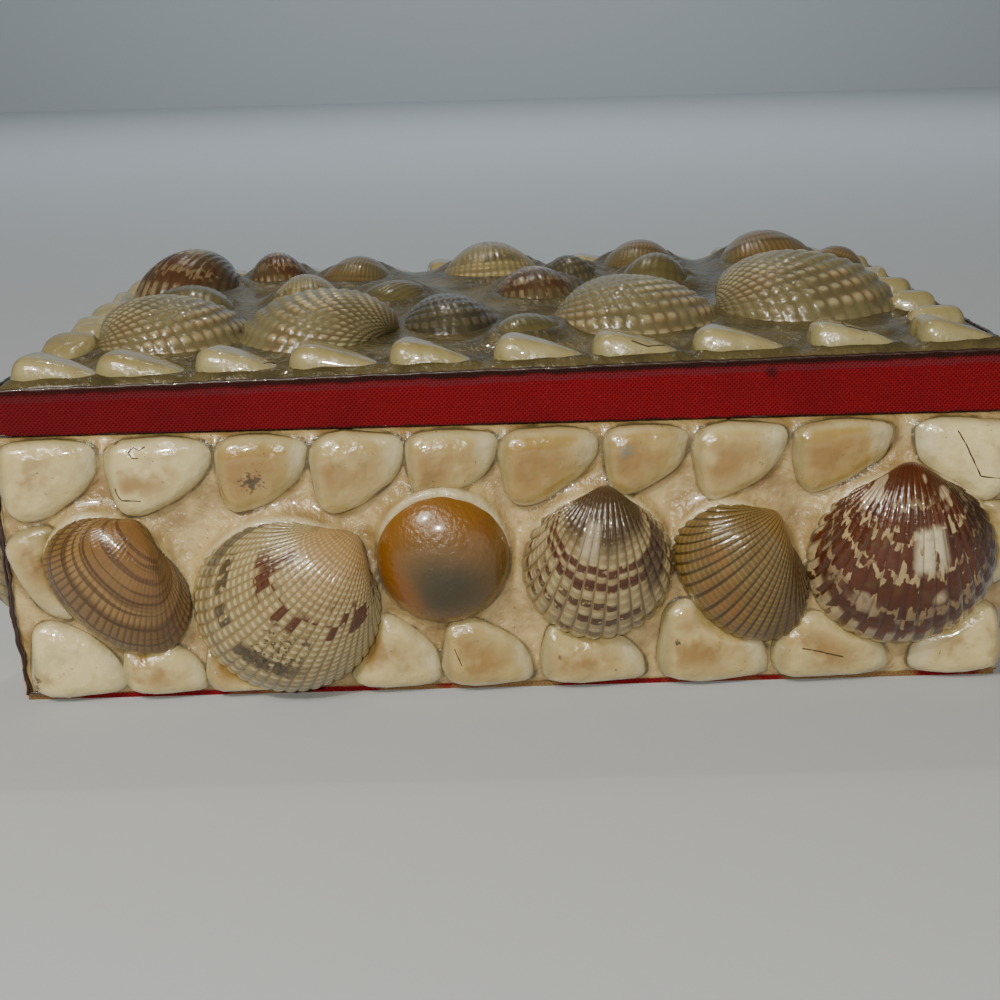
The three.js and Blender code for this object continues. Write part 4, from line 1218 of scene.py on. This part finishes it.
# %% The cloth's finish
def cloth_finish():
    finish = Finish("crimson_cloth", roughness=0.8)
    finish.shader.inputs["Specular IOR Level"].default_value = 0.18
    x, y, z = split(finish.place)
    pitch = 0.34
    wander = noise(finish.place, 0.5, 2.0) * 2.5
    run = (x + y) / pitch * math.tau + wander
    climb = (z - x * LID_SLOPE * 0.5) / pitch * math.tau + wander
    over = arithmetic("SINE", run * 0.5) * arithmetic("SINE", climb * 0.5)
    gaps = arithmetic("MAXIMUM", arithmetic("COSINE", run), arithmetic("COSINE", climb))
    slubs = noise(combine(finish.tree, x * 0.25, y * 0.25, z * 2.2), 1.0, 3.0)
    finish.start("7c0410", "62030c", step(over + slubs - 0.5, -0.8, 0.8))
    finish.layer(step(gaps, 0.4, 1.0, 0.0, 0.3), "3a0004")
    lint = step(noise(finish.place, 2.6, 2.0), 0.6, 0.75)
    finish.layer(lint * 0.25, "a02a35")
    worn = step(noise(finish.place, 0.1, 4.0), 0.45, 0.75)
    finish.layer(worn * 0.4, "520009")
    top = x * LID_SLOPE + TAPE_TOP_MIDDLE - z
    ragged = noise(finish.place, 0.3, 3.0) * 1.1
    purple = band_at(top + ragged, 1.9, 0.6)
    finish.layer(purple * 0.3, "4a2b33")
    finish.layer(step(top + ragged, 1.0, 1.7, 0.95, 0.0), "1d0c07")
    # darker along the lower edge of the band on the lid
    dark_lower_edge = step(z - TAPE_BOTTOM + ragged, 0.55, 0.95, 0.85, 0.0) * step(z, 40, 41)
    finish.layer(dark_lower_edge, "1d0808")
    # painted shade: the band on the lid darker towards the left
    finish.layer(step(-x, 0, 80, 0.0, 0.4) * step(z, 40, 41), "3c040a")
    blot = ((x - 39.4) ** 2.0 + (z - 49.2) ** 2.0) ** 0.5 + ragged
    finish.layer(step(blot, 0.6, 1.9, 0.75, 0.0) * step(y, -45, -46), "24060a")
    smeared = step(noise(finish.place, 0.07, 3.0), 0.46, 0.56, 0.0, 0.85) * step(z, 2.0, 1.5)
    finish.layer(smeared, "7a6440")
    finish.paint()
    finish.relief(over * 0.5 + gaps * -0.4, 0.14, 0.8)
    return finish.material


cloth = cloth_finish()


def dress(node, material):
    """Puts a finish on a measured solid that is shown as it is."""
    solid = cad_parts[node]
    solid.data.materials.clear()
    solid.data.materials.append(material)


# %% The card's finish
def card_finish():
    finish = Finish("plain_card", roughness=0.85)
    fibre = noise(finish.place, 1.4, 5.0)
    finish.start("9b835f", "b8a27c", fibre)
    finish.paint()
    finish.relief(fibre, 0.05, 0.5)
    return finish.material


card = card_finish()
for node in ("box_tray", "lid_card"):
    dress(node, card)
for node in ("base_cloth", "lid_tape"):
    dress(node, cloth)

# %% [markdown]
# ## Strands, drips and cracks
# Thin dark lines finish the surface: two loose strands of dried varnish down the front left corner, a drip
# line where varnish gathered along the top edge of the cloth, a dark line along its lower edge, and fine
# cracks in a few of the wedge shells.
# Each is a thread with a path, so one tree makes them all: it divides the path, lets it wander a little,
# and sweeps a small round section of changing thickness along it. A crack's path is first laid on the shell.

# %% The tree that sweeps a thread along a path
thread_tree, entry = new_tree("Thread along a path", {
    "Radius": 0.25, "Unevenness": 0.6, "Wander": 0.4, "Wander Scale": 0.3, "Spacing": 0.5,
    "Seed": 0.0, "Material": "",
}, takes_geometry=True)
path = add_node(thread_tree, "GeometryNodeMeshToCurve", {"Mesh": entry["Geometry"]})
even = {"Curve": path, "Length": entry["Spacing"]}
path = add_node(thread_tree, "GeometryNodeResampleCurve", even, mode="LENGTH")
here = add_node(thread_tree, "GeometryNodeInputPosition")
shift = combine(thread_tree, entry["Seed"], entry["Seed"], 0.0)
spot = add_node(thread_tree, "ShaderNodeVectorMath", {0: here, 1: shift}, operation="ADD")
drift = noise(spot, entry["Wander Scale"], 3.0, output="Color")
to_middle = {0: drift, 1: combine(thread_tree, 0.5, 0.5, 0.5)}
drift = add_node(thread_tree, "ShaderNodeVectorMath", to_middle, operation="SUBTRACT")
drift = scaled(drift, entry["Wander"])
path = add_node(thread_tree, "GeometryNodeSetPosition", {"Geometry": path, "Offset": drift})
thickness = entry["Radius"] * (1 + entry["Unevenness"] * (noise(spot, 0.9, 2.0) * 2 - 1))
section = add_node(thread_tree, "GeometryNodeCurvePrimitiveCircle", {"Resolution": 6, "Radius": 1.0})
sweep = {"Curve": path, "Profile Curve": section, "Scale": thickness, "Fill Caps": True}
swept = add_node(thread_tree, "GeometryNodeCurveToMesh", sweep)
finish_tree(thread_tree, swept, entry["Material"])


def plain_finish(name, code, roughness=0.3, coat=0.7):
    finish = Finish(name, roughness, coat)
    finish.paint(tint(code))
    return finish.material


def threads(name, bed, paths, material, radius, wander, seed, unevenness=0.6, closed=False):
    mesh = bpy.data.meshes.new("paths")
    points, edges = [], []
    for path in paths:
        start = len(points)
        points += path
        edges += [(start + i, start + i + 1) for i in range(len(path) - 1)]
        if closed:
            edges.append((len(points) - 1, start))
    mesh.from_pydata(points, edges, [])
    made = grow(thread_tree, {
        "Radius": radius, "Unevenness": unevenness, "Wander": wander, "Wander Scale": 0.3, "Spacing": 0.5,
        "Seed": float(seed), "Material": material,
    }, mesh)
    if volume_sign(made) < 0:
        made.flip_normals()
    made.transform(Matrix.Scale(MM, 4))
    show_on_bed(name, made, bed)


# %% Strands at the corner and drips along the cloth
from mathutils.bvhtree import BVHTree

dried_varnish = plain_finish("dried_varnish", "2b1305", 0.4, 0.4)
strand_paths = [
    [
        (-76.3, -49.7, 41.0), (-76.4, -50.2, 32.0), (-75.9, -50.5, 24.0),
        (-75.8, -50.4, 14.0), (-75.2, -50.5, 7.5), (-75.4, -50.3, 1.4),
    ],
    [
        (-76.4, -49.3, 33.0), (-76.6, -49.8, 22.0), (-76.2, -50.2, 15.0), (-75.6, -50.5, 8.0),
        (-74.9, -50.4, 1.6), (-70.5, -50.3, 1.2), (-66.0, -50.0, 1.3),
    ],
]
threads("corner_strands", "front_bed", strand_paths, dried_varnish, 0.26, 1.4, 1)
half_x, half_y = tape_high[0] - 0.15, tape_high[1] - 0.15


def round_the_lid(inset, above):
    corners = [(-1, -1), (1, -1), (1, 1), (-1, 1)]
    return [(a * (half_x - inset), b * (half_y - inset), above(a * half_x)) for a, b in corners]


drips = [round_the_lid(0.1, lambda x: TAPE_TOP_MIDDLE + LID_SLOPE * x + 0.05)]
threads("varnish_drips_above", "lid_bed", drips, dried_varnish, 0.3, 0.5, 3, closed=True)
# a dark line along the lower edge of the cloth, in the same dark finish
drips = [round_the_lid(0.05, lambda x: TAPE_BOTTOM + 0.12)]
threads("varnish_drips_below", "lid_bed", drips, dried_varnish, 0.14, 0.5, 5, 0.9, closed=True)

# %% Cracks laid on the wedge shells
CRACKS = [
    # on the front: x and z of the points
    [(-53.0, 41.0), (-53.8, 40.5), (-54.8, 41.0), (-55.5, 40.3), (-54.9, 39.4), (-54.0, 39.5)],
    [(-57.9, 35.0), (-57.6, 33.8), (-57.0, 33.1), (-55.7, 33.0), (-54.3, 32.8)],
    [(66.7, 40.2), (68.0, 38.0), (69.4, 35.2), (70.4, 33.3), (73.4, 32.9)],
    [(44.7, 6.5), (47.6, 5.9), (51.2, 4.7)], [(-8.6, 8.0), (-7.6, 5.2)],
]
LID_CRACKS = [
    # on the lid: x and y of the points
    [(51.0, -43.0), (51.0, -45.8), (54.2, -46.0)], [(19.0, -47.2), (21.5, -47.4), (24.0, -46.4)],
    [(-35.5, -46.8), (-34.8, -45.2), (-34.0, -43.2)],
]


def laid_on(name, paths, start, direction):
    """Each path with many points, dropped onto a finished piece."""
    piece = bpy.data.objects[name].data
    corners = [vertex.co / MM for vertex in piece.vertices]
    tree = BVHTree.FromPolygons(corners, [tuple(face.vertices) for face in piece.polygons])
    laid = []
    for path in paths:
        dense = []
        for a, b in zip(path, path[1:]):
            dense += [tuple(np.array(a) + (np.array(b) - a) * t) for t in (0, 0.25, 0.5, 0.75)]
        hits = [tree.ray_cast(Vector(start(u, v)), Vector(direction))[0] for u, v in [*dense, path[-1]]]
        laid.append([tuple(hit) for hit in hits if hit is not None])
    return [path for path in laid if len(path) > 1]


crack_dark = plain_finish("crack", "2b1d10", 0.6, 0.2)
on_front = laid_on("front_wedge_shells", CRACKS, lambda u, v: (u, -60, v), (0, 1, 0))
threads("front_cracks", "front_bed", on_front, crack_dark, 0.1, 0.35, 8, 0.8)
on_lid = laid_on("lid_wedge_shells", LID_CRACKS, lambda u, v: (u, v, 62), (0, 0, -1))
threads("lid_cracks", "lid_bed", on_lid, crack_dark, 0.12, 0.3, 9, 0.8)

# %% [markdown]
# ## Camera, light and floor
# The camera looks slightly down on the front, as in the photograph, from about a quarter of a metre. The
# light is soft, with a few small bright sources that give the varnish its sharp sparks. One more light
# stands far behind, where the floor turns up into a wall, so that the background is as bright as the floor.

# %% Camera
FOCAL = 1475.0  # in pixels of a picture 1000 wide
PITCH, YAW, ROLL = (math.radians(angle) for angle in (16.848, 0.201, -1.478))
EYE = Vector((-1.78, -262.44, 95.07))
ahead = Vector((math.sin(YAW) * math.cos(PITCH), math.cos(YAW) * math.cos(PITCH), -math.sin(PITCH)))
level = Vector((math.cos(YAW), -math.sin(YAW), 0))
upright = level.cross(ahead)
right = level * math.cos(ROLL) + upright * math.sin(ROLL)
up = upright * math.cos(ROLL) - level * math.sin(ROLL)
camera = bpy.data.objects.new("camera", bpy.data.cameras.new("camera"))
camera.data.sensor_width = 36
camera.data.lens = 36 * FOCAL / 1000
camera.data.clip_start = 0.01
camera.matrix_world = Matrix([(*row, 0) for row in zip(right, up, -ahead)] + [(0, 0, 0, 1)])
camera.location = EYE * MM
bpy.context.collection.objects.link(camera)
bpy.context.scene.camera = camera


# %% Light and floor
def soft_light(name, place, size, power, target=(0, 0, 25), colour=(1.0, 0.955, 0.85)):
    light = bpy.data.lights.new(name, "AREA")
    light.shape = "DISK"
    light.size = size * MM
    light.energy = power
    light.color = colour
    lamp = bpy.data.objects.new(name, light)
    lamp.location = Vector(place) * MM
    direction = Vector(target) * MM - lamp.location
    lamp.rotation_euler = direction.to_track_quat("-Z", "Y").to_euler()
    bpy.context.collection.objects.link(lamp)
    return lamp


soft_light("window", (-380, -560, 620), 300, 3.0)
soft_light("lamp", (-230, -430, 400), 24, 1.2)
soft_light("spark", (-60, -560, 250), 20, 1.8)
soft_light("fill", (420, -520, 60), 400, 0.3)
soft_light("sparkle", (-120, 420, 820), 18, 0.9)
far_light = soft_light("backdrop", (0, 1100, 1700), 1200, 34, (0, 2700, 500), (0.86, 0.95, 1.0))
far_light.visible_glossy = False  # it only lights the floor behind, and is not mirrored in the varnish
world = bpy.data.worlds.new("room")
world.use_nodes = True
world.node_tree.nodes["Background"].inputs[0].default_value = tint("cdc7b8")
world.node_tree.nodes["Background"].inputs[1].default_value = 0.22
bpy.context.scene.world = world

floor_mesh = bpy.data.meshes.new("floor")
floor_mesh.from_pydata(
    [(-4, -4, 0), (4, -4, 0), (4, 3, 0), (-4, 3, 0), (4, 3, 3), (-4, 3, 3)], [], [(0, 1, 2, 3), (3, 2, 4, 5)]
)
floor = bpy.data.objects.new("floor", floor_mesh)
floor_paint = Finish("floor_paint", roughness=0.9)
floor_paint.paint(tint("b6babf"))
floor_mesh.materials.append(floor_paint.material)  # the floor turns up into a wall three metres behind
bpy.context.collection.objects.link(floor)
